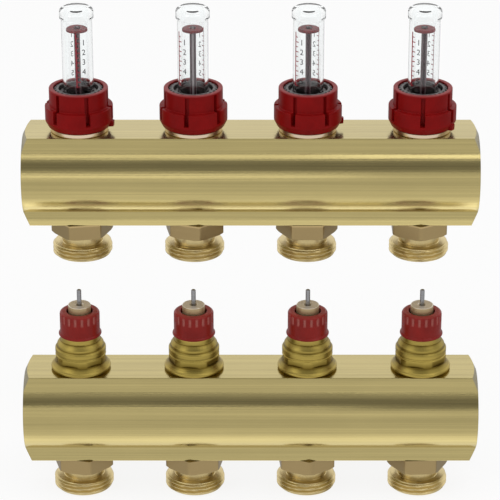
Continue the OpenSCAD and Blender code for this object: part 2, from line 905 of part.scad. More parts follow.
meter_coil_r = (meter_spring_d - meter_wire_d) / 2;
meter_coil_rise = coil_rise(sleeve_web_z + sleeve_web_h, rod_collar_z, meter_wire_d, meter_curls);
valve_coil_r = (valve_spring_d - valve_wire_d) / 2;
valve_coil_rise = coil_rise(preset_web_z + preset_web_h, valve_collar_z, valve_wire_d, valve_curls);
echo(meter_spring_gap = coil_gap(meter_coil_r, meter_coil_rise, meter_wire_d, meter_curls));
echo(valve_spring_gap = coil_gap(valve_coil_r, valve_coil_rise, valve_wire_d, valve_curls));

supply_bar();
return_bar();
supply_nipples();
return_nipples();
nipple_seals();
meter_bodies();
valve_bodies();
insert_seals();
meter_springs();
valve_springs();
for (i = stations) {
    adjusting_ring(i);
    sight_glass(i);
    lock_collar(i);
    throttle_sleeve(i);
    indicator_rod(i);
    indicator_disc(i);
    preset_ring(i);
    preset_sleeve(i);
    gland_nut(i);
    valve_pin(i);
    valve_spindle(i);
    cone_seal(i);
}
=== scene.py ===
"""Looks of a brass underfloor heating manifold: threads, glass, printed scales, finishes, light and camera."""
import json
import math

import bmesh
import bpy
import numpy as np
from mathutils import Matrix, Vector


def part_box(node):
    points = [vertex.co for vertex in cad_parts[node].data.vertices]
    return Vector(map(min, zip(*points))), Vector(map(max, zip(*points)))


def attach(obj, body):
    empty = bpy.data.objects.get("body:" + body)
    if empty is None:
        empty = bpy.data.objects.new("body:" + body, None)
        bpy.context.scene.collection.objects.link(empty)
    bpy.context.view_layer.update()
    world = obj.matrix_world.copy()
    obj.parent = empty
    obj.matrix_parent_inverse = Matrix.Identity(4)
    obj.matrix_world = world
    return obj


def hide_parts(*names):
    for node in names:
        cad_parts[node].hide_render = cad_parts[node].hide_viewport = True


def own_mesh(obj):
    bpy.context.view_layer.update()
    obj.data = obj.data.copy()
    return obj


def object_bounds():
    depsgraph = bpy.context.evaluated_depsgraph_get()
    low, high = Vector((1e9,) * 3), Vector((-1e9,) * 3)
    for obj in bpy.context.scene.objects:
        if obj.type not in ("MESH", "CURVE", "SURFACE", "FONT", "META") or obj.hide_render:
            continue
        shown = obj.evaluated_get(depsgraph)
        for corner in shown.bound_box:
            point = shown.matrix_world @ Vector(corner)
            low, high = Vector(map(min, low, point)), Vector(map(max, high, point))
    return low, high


bl_info = {
    "name": "Heating manifold looks",
    "version": (1, 0, 0),
    "blender": (4, 5, 0),
    "location": "View3D > Sidebar > Manifold",
    "description": "Threads, glass, printed scales and finishes of an underfloor heating manifold",
    "category": "Object",
}

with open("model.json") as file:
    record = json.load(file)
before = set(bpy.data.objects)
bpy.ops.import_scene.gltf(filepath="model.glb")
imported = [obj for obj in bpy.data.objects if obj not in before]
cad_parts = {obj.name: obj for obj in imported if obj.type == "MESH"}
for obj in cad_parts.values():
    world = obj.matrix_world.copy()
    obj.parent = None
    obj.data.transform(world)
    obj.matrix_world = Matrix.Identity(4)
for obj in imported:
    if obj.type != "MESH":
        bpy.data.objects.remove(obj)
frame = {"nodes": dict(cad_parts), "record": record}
cad_low, cad_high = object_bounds()

# Millimetres in one metre: pieces are worked out in millimetres from the axis of their own bar
MM = 1000.0
STATIONS = (1, 2, 3, 4)
BARS = ("supply", "return")
# Points closer than this many metres are one, and edges that bend by more degrees stay sharp in smooth shading
MERGE = 2e-6
SHARP = 32


def mount(name):
    """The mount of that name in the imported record."""
    return next(m for m in frame["record"]["mounts"] if m["name"] == name)


def bar_axis(bar):
    """Middle of a bar, in millimetres."""
    low, high = (np.array(corner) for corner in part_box(f"{bar}_bar"))
    return (low + high) / 2 * MM


def bar_size():
    """Length, depth and height of a bar, in millimetres."""
    low, high = (np.array(corner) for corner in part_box("supply_bar"))
    return (high - low) * MM


def station_x(i):
    """Place of a circuit along the bars, in millimetres."""
    return mount(f"supply_outlet_{i}")["pos_m"][0] * MM


AXIS = {bar: bar_axis(bar) for bar in BARS}
BAR_L, ROUND_D, BAR_H = bar_size()
TOP = BAR_H / 2
PORT_R = mount("supply_port_left")["dims"]["r_mm"]
OUTLET_R = mount("supply_outlet_1")["dims"]["r_mm"]
DRUM_R = mount("actuator_collar_1")["dims"]["r_mm"]


class ManifoldSizes(bpy.types.PropertyGroup):
    """Sizes of the details that the looks add."""

    outlet_pitch: bpy.props.FloatProperty(
        name="Outlet pitch", description="Pitch of the outlet threads", unit="LENGTH",
        default=0.001814, min=0.001, max=0.003)
    outlet_depth: bpy.props.FloatProperty(
        name="Outlet depth", description="Depth of the outlet threads", unit="LENGTH",
        default=0.00105, min=0.0003, max=0.0013)
    port_pitch: bpy.props.FloatProperty(
        name="Port pitch", description="Pitch of the threads in the bar ends", unit="LENGTH",
        default=0.002309, min=0.001, max=0.003)
    port_depth: bpy.props.FloatProperty(
        name="Port depth", description="Depth of the threads in the bar ends", unit="LENGTH",
        default=0.0014, min=0.0003, max=0.0015)
    numeral_h: bpy.props.FloatProperty(
        name="Numeral height", description="Height of the numerals on the sight glass", unit="LENGTH",
        default=0.0026, min=0.001, max=0.0035)
    scale_step: bpy.props.FloatProperty(
        name="Scale step", description="Distance between numerals on the sight glass", unit="LENGTH",
        default=0.0044, min=0.002, max=0.006)
    print_h: bpy.props.FloatProperty(
        name="Print thickness", description="Thickness of the printed marks", unit="LENGTH",
        default=0.00004, min=0.00001, max=0.0001)


class ManifoldColours(bpy.types.PropertyGroup):
    """Colours of the finishes."""

    bar: bpy.props.FloatVectorProperty(
        name="Bar", description="Brushed brass of the bars", subtype="COLOR", default=(0.455, 0.376, 0.162))
    nipple: bpy.props.FloatVectorProperty(
        name="Nipple", description="Turned brass of the outlets", subtype="COLOR", default=(0.62, 0.5, 0.25))
    valve: bpy.props.FloatVectorProperty(
        name="Valve", description="Turned brass of the valve inserts", subtype="COLOR", default=(0.375, 0.282, 0.068))
    gland: bpy.props.FloatVectorProperty(
        name="Gland", description="Pale brass of the glands", subtype="COLOR", default=(0.46, 0.35, 0.19))
    collar: bpy.props.FloatVectorProperty(
        name="Collar", description="Red plastic of the lock collars", subtype="COLOR", default=(0.2, 0.004, 0.004))
    preset: bpy.props.FloatVectorProperty(
        name="Preset", description="Red plastic of the presetting rings", subtype="COLOR",
        default=(0.21, 0.012, 0.009))
    dark: bpy.props.FloatVectorProperty(
        name="Dark", description="Dark plastic of the adjusting rings", subtype="COLOR",
        default=(0.07, 0.058, 0.057))
    disc: bpy.props.FloatVectorProperty(
        name="Disc", description="Red plastic of the indicator discs", subtype="COLOR", default=(0.19, 0.008, 0.012))
    rod: bpy.props.FloatVectorProperty(
        name="Rod", description="Plastic of the indicator rods", subtype="COLOR", default=(0.055, 0.016, 0.023))
    steel: bpy.props.FloatVectorProperty(
        name="Steel", description="Steel of pins and springs", subtype="COLOR", default=(0.3, 0.3, 0.31))
    meter: bpy.props.FloatVectorProperty(
        name="Meter", description="Pale brass of the meter bodies", subtype="COLOR", default=(0.72, 0.58, 0.42))
    seal: bpy.props.FloatVectorProperty(
        name="Seal", description="Rubber of the seals", subtype="COLOR", default=(0.02, 0.02, 0.021))
    red_print: bpy.props.FloatVectorProperty(
        name="Red print", description="Red marks on the glass", subtype="COLOR", default=(0.42, 0.02, 0.04))
    dark_print: bpy.props.FloatVectorProperty(
        name="Dark print", description="Dark numerals on the glass", subtype="COLOR", default=(0.02, 0.02, 0.022))


def size(name):
    """A size that a user can change, in millimetres."""
    return getattr(bpy.context.scene.manifold_sizes, name) * MM


def colours():
    """The colours that a user can change."""
    return bpy.context.scene.manifold_colours


# Meshes


def around(count):
    """Angles of a full turn, in radians, without the end point."""
    return np.arange(count) * (2 * math.pi / count)


def fillet(corners, steps=5):
    """An outline of (r, z) corners, each with a rounding radius, as points.

    A rounded corner becomes an arc that touches both sides, with a point a little outside each of its ends, so that
    the sides stay flat in smooth shading. A corner of radius 0 stays sharp. The outline is closed.
    """
    straight, most, hold = math.radians(88), 0.8, 0.12
    corners = np.asarray(corners, float)
    points = []
    for before, here, after in zip(np.roll(corners, 1, 0), corners, np.roll(corners, -1, 0)):
        p, radius = here[:2], here[2]
        to_before = before[:2] - p
        to_after = after[:2] - p
        reach = min(np.linalg.norm(to_before), np.linalg.norm(to_after)) / 2
        to_before = to_before / np.linalg.norm(to_before)
        to_after = to_after / np.linalg.norm(to_after)
        half = math.acos(np.clip(to_before @ to_after, -1, 1)) / 2
        if radius == 0 or half > straight:
            points.append(p[None])
            continue
        tangent = min(radius / math.tan(half), reach * most)
        radius = tangent * math.tan(half)
        middle = to_before + to_after
        centre = p + middle / np.linalg.norm(middle) * radius / math.sin(half)
        start, end = p + to_before * tangent - centre, p + to_after * tangent - centre
        turn = math.acos(np.clip(start @ end / radius**2, -1, 1))
        t = np.linspace(0, 1, steps + 1)[:, None]
        arc = (np.sin((1 - t) * turn) * start + np.sin(t * turn) * end) / math.sin(turn) + centre
        extra = min(hold, max(reach - tangent, 0) * 0.5)
        points.append(np.vstack([p + to_before * (tangent + extra), arc, p + to_after * (tangent + extra)]))
    return np.vstack(points)


def quads(rows, columns, close_rows=True, close_columns=True):
    """Corner numbers of the quads of a grid of points, whose last row and column may meet the first."""
    row, column = np.meshgrid(np.arange(rows if close_rows else rows - 1),
                              np.arange(columns if close_columns else columns - 1), indexing="ij")
    next_row, next_column = (row + 1) % rows, (column + 1) % columns
    corners = [row * columns + column, row * columns + next_column,
               next_row * columns + next_column, next_row * columns + column]
    return np.stack(corners, -1).reshape(-1, 4)


def with_rows(outline, heights, least):
    """An outline with points added at some heights, where a side beyond the least radius rises past them."""
    for height in heights:
        low, high = outline[:-1], outline[1:]
        past = (low[:, 1] < height) & (height < high[:, 1])
        found = np.flatnonzero(past & (low[:, 0] > least) & (high[:, 0] > least))
        if len(found):
            k = found[0]
            share = (height - outline[k, 1]) / (outline[k + 1, 1] - outline[k, 1])
            outline = np.insert(outline, k + 1, outline[k] + share * (outline[k + 1] - outline[k]), axis=0)
    return outline


def spread_rows(rows, like):
    """Two grids from rows of pairs, whose members are one number or one for every angle."""
    return (np.array([np.broadcast_to(row[k], like.shape) for row in rows], float) for k in (0, 1))


def turned(r, z, theta, close=True, full=True):
    """Points and quads of a surface turned round Z: radius and height on a grid of rows and angles.

    The last row meets the first where close is true, and the last angle the first where it goes the full turn.
    """
    r, z, angle = np.broadcast_arrays(r, z, theta[None, :])
    points = np.stack([r * np.cos(angle), r * np.sin(angle), z], -1)
    return points.reshape(-1, 3), quads(*r.shape, close, full)


def turned_outline(corners, count=96, steps=5, close=True):
    """A turned solid from an outline of (r, z, rounding) corners, closed in itself or by its two ends on the axis."""
    outline = fillet(corners, steps)
    return turned(outline[:, :1], outline[:, 1:], around(count), close)


def moved(shape, offset, turn=0.0):
    """A shape turned about Z by an angle in degrees and then moved."""
    points, faces = shape
    c, s = math.cos(math.radians(turn)), math.sin(math.radians(turn))
    return points @ np.array([[c, s, 0], [-s, c, 0], [0, 0, 1]]) + np.asarray(offset), faces


def joined(shapes):
    """Several shapes as one list of points and one of faces."""
    starts = np.cumsum([0] + [len(points) for points, _ in shapes])
    faces = [np.asarray(f) + start for (_, f), start in zip(shapes, starts)]
    return np.vstack([points for points, _ in shapes]), np.vstack(faces)


def at_station(bar, i, shape, turn=0.0):
    """A shape moved from its own axis to its circuit on a bar."""
    return moved(shape, AXIS[bar] + [station_x(i), 0, 0], turn)


def shade(mesh, sharp):
    """Smooth shading that stops at edges sharper than an angle in degrees."""
    mesh.shade_smooth()
    mesh.set_sharp_from_angle(angle=math.radians(sharp))


def new_mesh(name, shape, sharp=SHARP, edge=None):
    """A mesh from points in millimetres and faces, with doubles merged and faces outwards; edge masks its points
    where light and shade are painted.
    """
    points, faces = shape
    mesh = bpy.data.meshes.new(name)
    mesh.from_pydata((points / MM).tolist(), [], faces.tolist())
    if edge is not None:
        mesh.attributes.new("edge", "FLOAT", "POINT").data.foreach_set("value", edge.astype(np.float32))
    work = bmesh.new()
    work.from_mesh(mesh)
    bmesh.ops.remove_doubles(work, verts=work.verts, dist=MERGE)
    bmesh.ops.recalc_face_normals(work, faces=work.faces)
    work.to_mesh(mesh)
    work.free()
    shade(mesh, sharp)
    return mesh


def new_object(name, data):
    """A new object in the scene."""
    thing = bpy.data.objects.new(name, data)
    bpy.context.scene.collection.objects.link(thing)
    return thing


def make_piece(name, shape, body, slot, replaced=(), look=None, sharp=SHARP, edge=None):
    """A piece on its body, in place of its nodes, with the finish of its slot or another look."""
    piece = new_object(name, new_mesh(name, shape, sharp, edge))
    piece.data.materials.append(finish(look or slot))
    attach(piece, body)
    if replaced:
        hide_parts(*replaced)
    return piece


def make_pieces(bar, i, rows):
    """One circuit's pieces, each in place of one node: name, node, body, slot, shape, turn and mask of painted light.
    """
    for name, node, body, slot, shape, turn, edge in rows:
        make_piece(f"{name}_{i}", at_station(bar, i, shape, turn), f"{body}_{i}", slot, [f"{node}_{i}"], edge=edge)


def make_four(name, bar, shape, turns, slot, node, edge):
    """One fixed piece in place of a node that holds a shape four times, turned by an angle at each circuit."""
    four = joined([at_station(bar, i, shape, turn) for i, turn in zip(STATIONS, turns)])
    make_piece(name, four, "root", slot, [node], edge=np.tile(edge, len(STATIONS)))


def make_spring(name, bar, i, shape, node):
    """One circuit's spring, on the root, with a mesh of its own."""
    coil = make_piece(f"{name}_{i}", at_station(bar, i, shape), "root", "spring_steel", [node])
    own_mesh(coil)


def ramped(value, width):
    """From 0 to 1 as a value climbs from 0 to a width, and held at both ends."""
    return np.clip(value / width, 0, 1)


def thread_wave(turns):
    """A thread's profile over one pitch, from 0 at the root to 1 at the crest: slanted flanks with narrow lands."""
    land = 0.14
    share = turns - np.floor(turns)
    return ramped(1 - np.abs(2 * share - 1) - land, 1 - 2 * land)


SIXTH = math.pi / 3


def off_sixth(theta):
    """Angle from the middle of the nearest sixth of a turn."""
    return (theta + SIXTH / 2) % SIXTH - SIXTH / 2


def hexagon(theta, across_flats):
    """Radius of a hexagon at each angle, with its corners a little blunted."""
    blunt = 0.12
    corner = across_flats / 2 / math.cos(SIXTH / 2)
    return np.minimum(across_flats / 2 / np.cos(off_sixth(theta)), corner - blunt)


# Node groups and finishes


def new_group(name, inputs):
    """A shader node group with inputs (name, kind, default), and tone, roughness and height as its outputs."""
    group = bpy.data.node_groups.new(name, "ShaderNodeTree")
    for label, kind, value in inputs:
        socket = group.interface.new_socket(label, in_out="INPUT", socket_type=kind)
        if value is not None:
            socket.default_value = value
    for label in ("Tone", "Roughness", "Height"):
        group.interface.new_socket(label, in_out="OUTPUT", socket_type="NodeSocketFloat")
    return group, group.nodes.new("NodeGroupInput").outputs, group.nodes.new("NodeGroupOutput").inputs


def set_inputs(node, values):
    """Fills a node's inputs, by name."""
    for name, value in values.items():
        node.inputs[name].default_value = value


def add(tree, kind, links=None, values=None, **settings):
    """A new node with its settings; values fill its inputs, and links feed them from sockets, by name or number."""
    node = tree.nodes.new(kind)
    for name, value in settings.items():
        setattr(node, name, value)
    set_inputs(node, values or {})
    for name, socket in (links or {}).items():
        tree.links.new(socket, node.inputs[name])
    return node


def stretched_noise(tree, coordinates, scale, detail, roughness=0.55):
    """Noise on coordinates scaled by three numbers, so that it runs in lines along the smallest."""
    mapping = add(tree, "ShaderNodeMapping", {"Vector": coordinates}, {"Scale": scale})
    noise = add(tree, "ShaderNodeTexNoise", {"Vector": mapping.outputs["Vector"]},
                {"Scale": 1.0, "Detail": detail, "Roughness": roughness})
    return noise.outputs["Fac"]


def reckoned(tree, operation, *values):
    """The result of an operation on one or two values."""
    return add(tree, "ShaderNodeMath", dict(enumerate(values)), operation=operation).outputs[0]


def ranged(tree, value, low, high, to_low=0.0, to_high=1.0):
    """A value carried from one range to another, held at the ends."""
    return add(tree, "ShaderNodeMapRange", {"Value": value},
               {"From Min": low, "From Max": high, "To Min": to_low, "To Max": to_high}).outputs["Result"]


def mixed(tree, factor, first, second):
    """Two colours mixed by a factor; a colour may be a socket or a plain colour."""
    node = add(tree, "ShaderNodeMix", {0: factor}, data_type="RGBA")
    for number, colour in ((6, first), (7, second)):
        if isinstance(colour, bpy.types.NodeSocket):
            tree.links.new(colour, node.inputs[number])
        else:
            node.inputs[number].default_value = (*colour, 1)
    return node.outputs[2]


def build_metal_group():
    """Fine tool lines, broader lines, soft smudges and specks of worked metal, all from noise.

    Lines come in coordinates that are stretched along the tool's path; smudges and specks follow the plain place.
    """
    group, given, result = new_group("worked_metal", [
        ("Lines", "NodeSocketVector", None), ("Place", "NodeSocketVector", None), ("Smudge", "NodeSocketFloat", 0.5)])
    lines = stretched_noise(group, given["Lines"], (1.0, 1.0, 1.0), 2.0)
    wide_lines = stretched_noise(group, given["Lines"], (0.5, 0.24, 0.24), 2.0)
    smudge = stretched_noise(group, given["Place"], (28.0, 60.0, 60.0), 4.0, 0.6)
    specks = stretched_noise(group, given["Place"], (900.0, 900.0, 900.0), 2.0)
    both = reckoned(group, "ADD", lines, wide_lines)
    soft = reckoned(group, "MULTIPLY", smudge, given["Smudge"])
    group.links.new(reckoned(group, "ADD", both, soft), result["Tone"])
    group.links.new(reckoned(group, "ADD", soft, lines), result["Roughness"])
    group.links.new(reckoned(group, "ADD", both, specks), result["Height"])


def build_plastic_group():
    """Moulded plastic: a fine skin texture, broad unevenness and faint handling marks, all from noise."""
    group, given, result = new_group("moulded_plastic", [("Coordinates", "NodeSocketVector", None)])
    skin = stretched_noise(group, given["Coordinates"], (2600.0, 2600.0, 2600.0), 2.0)
    broad = stretched_noise(group, given["Coordinates"], (130.0, 130.0, 130.0), 3.0)
    marks = stretched_noise(group, given["Coordinates"], (420.0, 420.0, 90.0), 4.0, 0.65)
    group.links.new(broad, result["Tone"])
    group.links.new(reckoned(group, "ADD", marks, skin), result["Roughness"])
    group.links.new(skin, result["Height"])


def new_material(name):
    """Nodes and shader of a new finish; the bare name of its slot belongs to the frame's own material."""
    material = bpy.data.materials.new(f"{name}_finish")
    material.use_nodes = True
    return material.node_tree, material.node_tree.nodes["Principled BSDF"]


def finish(name):
    """A finish by the name of its slot or print."""
    return bpy.data.materials[f"{name}_finish"]


def own_place(tree):
    """The object's own coordinates."""
    return tree.nodes.new("ShaderNodeTexCoord").outputs["Object"]


def shaded(colour, factor):
    """A colour times a number."""
    return tuple(min(part * factor, 1.0) for part in colour)


# Lines per metre along X, Y and Z: drawn and brushed along a bar, and turned round an upright piece
BRUSHED = (9.0, 2600.0, 2600.0)
TURNED = (12.0, 12.0, 2600.0)
# Node group of a finish, ranges of its tone and of its roughness, and depth of its relief in metres
METAL = ("worked_metal", (0.9, 1.6), (0.5, 1.1), 0.0004)
PLASTIC = ("moulded_plastic", (0.3, 0.7), (0.7, 1.3), 0.0002)
# Smoothest and roughest place of a finish, as shares of its roughness
SMOOTHEST, ROUGHEST = 0.8, 1.25


def detailed(name, detail, colour, spread, roughness, bump, painted_light_colour):
    """A finish whose colour, roughness and relief follow a node group, with painted light and shade in a second
    colour where "edge" masks it.
    """
    group, tones, roughs, depth = detail
    tree, shader = new_material(name)
    worked = add(tree, "ShaderNodeGroup", node_tree=bpy.data.node_groups[group])
    tone = ranged(tree, worked.outputs["Tone"], *tones)
    base = mixed(tree, tone, shaded(colour, 1 - spread), shaded(colour, 1 + spread))
    # The second colour is painted light and shade where the edge mask lies: paler for highlights, darker for shade.
    if painted_light_colour:
        edge = add(tree, "ShaderNodeAttribute", attribute_name="edge")
        base = mixed(tree, edge.outputs["Fac"], base, painted_light_colour)
    rough = ranged(tree, worked.outputs["Roughness"], *roughs, roughness * SMOOTHEST, roughness * ROUGHEST)
    relief = add(tree, "ShaderNodeBump", {"Height": worked.outputs["Height"]}, {"Strength": bump, "Distance": depth})
    tree.links.new(base, shader.inputs["Base Color"])
    tree.links.new(rough, shader.inputs["Roughness"])
    tree.links.new(relief.outputs["Normal"], shader.inputs["Normal"])
    return tree, shader, worked


def metal(name, colour, roughness, lines=TURNED, smudge=0.5, bump=0.03, spread=0.12, metallic=1.0, painted_light_colour=None):
    """Worked metal, whose tool lines run where the coordinates are stretched."""
    tree, shader, worked = detailed(name, METAL, colour, spread, roughness, bump, painted_light_colour)
    place = own_place(tree)
    mapping = add(tree, "ShaderNodeMapping", {"Vector": place}, {"Scale": lines})
    tree.links.new(mapping.outputs["Vector"], worked.inputs["Lines"])
    tree.links.new(place, worked.inputs["Place"])
    set_inputs(worked, {"Smudge": smudge})
    set_inputs(shader, {"Metallic": metallic})


def plastic(name, colour, roughness, spread=0.1, gloss=0.5, painted_light_colour=None):
    """Moulded plastic; gives its shader."""
    bump = 0.05
    tree, shader, skin = detailed(name, PLASTIC, colour, spread, roughness, bump, painted_light_colour)
    tree.links.new(own_place(tree), skin.inputs["Coordinates"])
    set_inputs(shader, {"Specular IOR Level": gloss})
    return shader


def clear_plastic(name):
    """Clear moulded plastic with faint flow marks in its surface."""
    tree, shader = new_material(name)
    flow = stretched_noise(tree, own_place(tree), (160.0, 160.0, 40.0), 2.0)
    relief = add(tree, "ShaderNodeBump", {"Height": flow}, {"Strength": 0.04, "Distance": 0.0005})
    tree.links.new(relief.outputs["Normal"], shader.inputs["Normal"])
    tree.links.new(ranged(tree, flow, 0.3, 0.7, 0.015, 0.05), shader.inputs["Roughness"])
    set_inputs(shader, {"Base Color": (0.97, 0.985, 0.985, 1), "Transmission Weight": 1.0, "IOR": 1.49,
                        "Specular IOR Level": 0.35})


class MANIFOLD_OT_finishes(bpy.types.Operator):
    """Makes the finishes and gives them to the pieces that come from the frame"""

    bl_idname = "manifold.finishes"
    bl_label = "Finishes"

    def execute(self, context):
        build_metal_group()
        build_plastic_group()
        c = colours()
        metal("bar_brass", c.bar, 0.19, BRUSHED, smudge=0.45, bump=0.06)
        # The nipples' hexagons are painted a darker brass: painted shade.
        metal("nipple_brass", c.nipple, 0.34, spread=0.14, painted_light_colour=(0.36, 0.265, 0.125))
        metal("meter_brass", c.meter, 0.32, spread=0.1)
        # The valve bodies' inner corners are painted darker: painted shade.
        metal("valve_brass", c.valve, 0.38, smudge=0.6, bump=0.04, spread=0.22, painted_light_colour=(0.15, 0.1, 0.015))
        # The glands' top faces are painted paler: painted highlight.
        metal("gland_brass", c.gland, 0.4, metallic=0.75, painted_light_colour=(0.68, 0.6, 0.49))
        metal("pin_steel", c.steel, 0.28, smudge=0.4, spread=0.15)
        metal("spring_steel", c.steel, 0.25, smudge=0.4, bump=0.02, spread=0.1)
        # The lock collars' top rims are painted paler: painted highlight.
        plastic("collar_red", c.collar, 0.36, spread=0.12, gloss=0.07, painted_light_colour=(0.27, 0.045, 0.045))
        # The presetting rings' flutes and top rim are painted paler: painted highlights.
        plastic("preset_red", c.preset, 0.3, spread=0.14, gloss=0.15, painted_light_colour=(0.4, 0.13, 0.11))
        plastic("dark_plastic", c.dark, 0.42, spread=0.2)
        # The indicator rods' fin edges are painted paler: painted highlight.
        plastic("rod_plastic", c.rod, 0.3, spread=0.15, gloss=0.25, painted_light_colour=(0.33, 0.28, 0.29))
        plastic("disc_red", c.disc, 0.35, spread=0.12, gloss=0.12)
        plastic("seal_rubber", c.seal, 0.6, spread=0.2)
        plastic("dark_print", c.dark_print, 0.5)
        set_inputs(plastic("red_print", c.red_print, 0.5), {"Transmission Weight": 0.5})
        clear_plastic("clear_glass")
        slots = {row["node"]: row["material_slot"] for row in frame["record"]["subparts"]}
        for name, node in frame["nodes"].items():
            node.data.materials.clear()
            node.data.materials.append(finish(slots[name]))
        return {"FINISHED"}


# Bars


def bar_outline():
    """Outline of a bar's section: a block with rounded corners, whose sides bulge in a circular arc.

    Starts at the middle of the top and runs round, as points across and up from the axis.
    """
    half_w, radius, corner, hold = 12.0, ROUND_D / 2, 0.4, 0.15
    crease = math.acos(half_w / radius)
    bow = np.linspace(crease, -crease, 49)
    side_arc = radius * np.stack([np.cos(bow), np.sin(bow)], -1)
    bend = np.linspace(math.pi / 2, 0, 6)
    top_corner = np.array([half_w - corner, TOP - corner]) + corner * np.stack([np.cos(bend), np.sin(bend)], -1)
    top = np.stack([np.linspace(0, half_w - corner - hold, 12), np.full(12, TOP)], -1)
    start = side_arc[0] + [0, 0.1]
    flat = np.stack([np.full(6, half_w), np.linspace(TOP - corner - hold, start[1], 6)], -1)
    quarter = np.vstack([top, top_corner, flat])
    right = np.vstack([quarter, side_arc, (quarter * [1, -1])[::-1]])
    left = (right * [-1, 1])[::-1]
    return np.vstack([right, left[1:-1]])


def bar_shape():
    """A bar about its own axis, as one closed surface.

    Every ring is the outline or a circle at the outline's angles. From the middle of the length the rings run along
    the outside, slant down over the tapered end, cross the end face, and return through the threaded port and the
    flow channel.
    """
    end_r, slope, end_soft, hold = 18.0, math.tan(math.radians(26)), 0.15, 0.4
    lead_r, lead_l, port_l, channel_r = 17.33, 0.38, 14.0, 15.0
    lead, fade_in, fade_out, relief, rows_a_pitch = 0.4, 1.2, 1.0, 2.0, 10
    pitch = size("port_pitch")
    outline = bar_outline()
    rho = np.linalg.norm(outline, axis=1)
    out = outline / rho[:, None]
    angle = np.arctan2(out[:, 1], out[:, 0])
    half = BAR_L / 2
    edge_x = half - np.maximum(rho - end_r, 0) * slope

    depth = np.arange(lead, port_l - relief + lead, pitch / rows_a_pitch)
    turns = (half - depth[:, None]) / pitch - angle[None, :] / (2 * math.pi)
    fade = ramped(depth - lead, fade_in) * ramped(port_l - relief - depth, fade_out)
    thread_r = PORT_R - size("port_depth") * thread_wave(turns) * fade[:, None]

    port_foot = half - port_l
    r, x = spread_rows([
        (rho, edge_x - hold), (rho, edge_x), (end_r, half - 0.02), (end_r - end_soft, half), (lead_r, half),
        (PORT_R, half - lead_l), *zip(thread_r, half - depth), (PORT_R, port_foot + 0.8), (PORT_R, port_foot),
        (channel_r, port_foot), (channel_r, 0.0)], rho)
    r = np.vstack([r, r[-2::-1]])
    x = np.vstack([x, -x[-2::-1]])
    points = np.stack([x, r * out[:, 0], r * out[:, 1]], -1)
    return points.reshape(-1, 3), quads(len(r), len(rho))


def upright_holes():
    """Cutters for the four holes through the flats of a bar."""
    r, high, theta = 10.6, TOP + 2, around(96)
    wall = turned(*spread_rows([(0, -high), (r, -high), (r, high), (0, high)], theta), theta, close=False)
    return joined([moved(wall, (station_x(i), 0, 0)) for i in STATIONS])


def cut(piece, shape, sharp):
    """Cuts a shape, in millimetres, out of a piece and keeps the result as its mesh."""
    cutter = new_object("cutter", new_mesh("cutter", shape))
    tool = piece.modifiers.new("holes", "BOOLEAN")
    tool.object = cutter
    tool.operation = "DIFFERENCE"
    tool.solver = "EXACT"
    bpy.context.view_layer.update()
    whole = piece.evaluated_get(bpy.context.evaluated_depsgraph_get())
    result = bpy.data.meshes.new_from_object(whole)
    piece.modifiers.clear()
    piece.data = result
    bpy.data.objects.remove(cutter)
    shade(result, sharp)


class MANIFOLD_OT_bars(bpy.types.Operator):
    """Makes both bars, with their creases, tapered ends and threaded ports"""

    bl_idname = "manifold.bars"
    bl_label = "Bars"

    def execute(self, context):
        shape, holes, sharp = bar_shape(), upright_holes(), 20
        for bar in BARS:
            piece = make_piece(f"{bar}_bar_brushed", moved(shape, AXIS[bar]), "root", "bar_brass", [f"{bar}_bar"],
                               sharp=sharp)
            cut(piece, moved(holes, AXIS[bar]), sharp)
        return {"FINISHED"}


# Outlet nipples


def nipple_shape(seat_bore):
    """A nipple as one closed turned surface, and a mask of its hexagon, which is painted a darker brass than the
    turned parts as painted shade.

    Shank, hexagon, relief, threaded end, sealing cone and bore follow each other as rows. The hexagon's radius
    depends on the angle, and its lower corners are turned down on a cone. The thread's radius depends on angle and
    height together, so that its ridge climbs one pitch a turn, and fades at both ends.
    """
    shank, seal_r, seal_h, seat = 10.45, 11.6, 0.9, -13.9
    hex_af, hex_h, relief_r, relief_l, thread_l = 24.0, 6.9, 9.0, 4.6, 5.9
    bore, mouth, cone_l, seat_l, fade = 6.25, 10.0, 5.0, 3.2, 0.9
    corner_cut, top_cut, round_in, round_out, soft, hold = 1.1, 0.9, 0.3, 0.25, 0.15, 0.05
    theta = around(144)
    hex_foot = -TOP - hex_h
    thread_top = hex_foot - relief_l
    foot = thread_top - thread_l
    flat = hexagon(theta, hex_af)
    turned_r = hex_af / 2 / math.cos(SIXTH / 2) - corner_cut
    chamfer = np.maximum(flat - turned_r, 0) * math.tan(math.radians(30))

    z = np.linspace(thread_top - 0.1, foot + 0.1, 46)
    turns = z[:, None] / size("outlet_pitch") - theta[None, :] / (2 * math.pi) + 0.25
    rise = ramped(thread_top - z, fade) * ramped(z - foot, fade)
    root = OUTLET_R - size("outlet_depth")
    thread = root + size("outlet_depth") * thread_wave(turns) * rise[:, None]

    head = fillet([(seat_bore, seat, 0.25), (shank, seat, 0.3), (shank, -TOP - seal_h, 0.0),
                   (seal_r, -TOP - seal_h, 0.0), (seal_r, -TOP, 0.0), (relief_r, -TOP - 4, 0.0)])[:-1]
    nut = [(np.minimum(flat, turned_r + top_cut), -TOP), (flat, -TOP - chamfer / 4 - hold),
           (flat, hex_foot + chamfer + hold), (flat, hex_foot + chamfer), (np.minimum(flat, turned_r), hex_foot)]
    end = [(relief_r + round_in, hex_foot), (relief_r, hex_foot - round_in), (relief_r, thread_top + round_out),
           (relief_r + round_out, thread_top), (root - soft, thread_top), *zip(thread, z), (root - soft, foot),
           (mouth + soft, foot), (mouth, foot + 0.1), (bore, foot + cone_l)]
    if seat_bore < bore:
        end += [(bore, seat - seat_l), (seat_bore, seat - seat_l)]
    # The hexagon's rows carry the painted shade.
    hexagon_shade = np.repeat([0.0, 1.0, 0.0], [len(head), len(nut), len(end)])
    return turned(*spread_rows([*head, *nut, *end], theta), theta), np.repeat(hexagon_shade, len(theta))


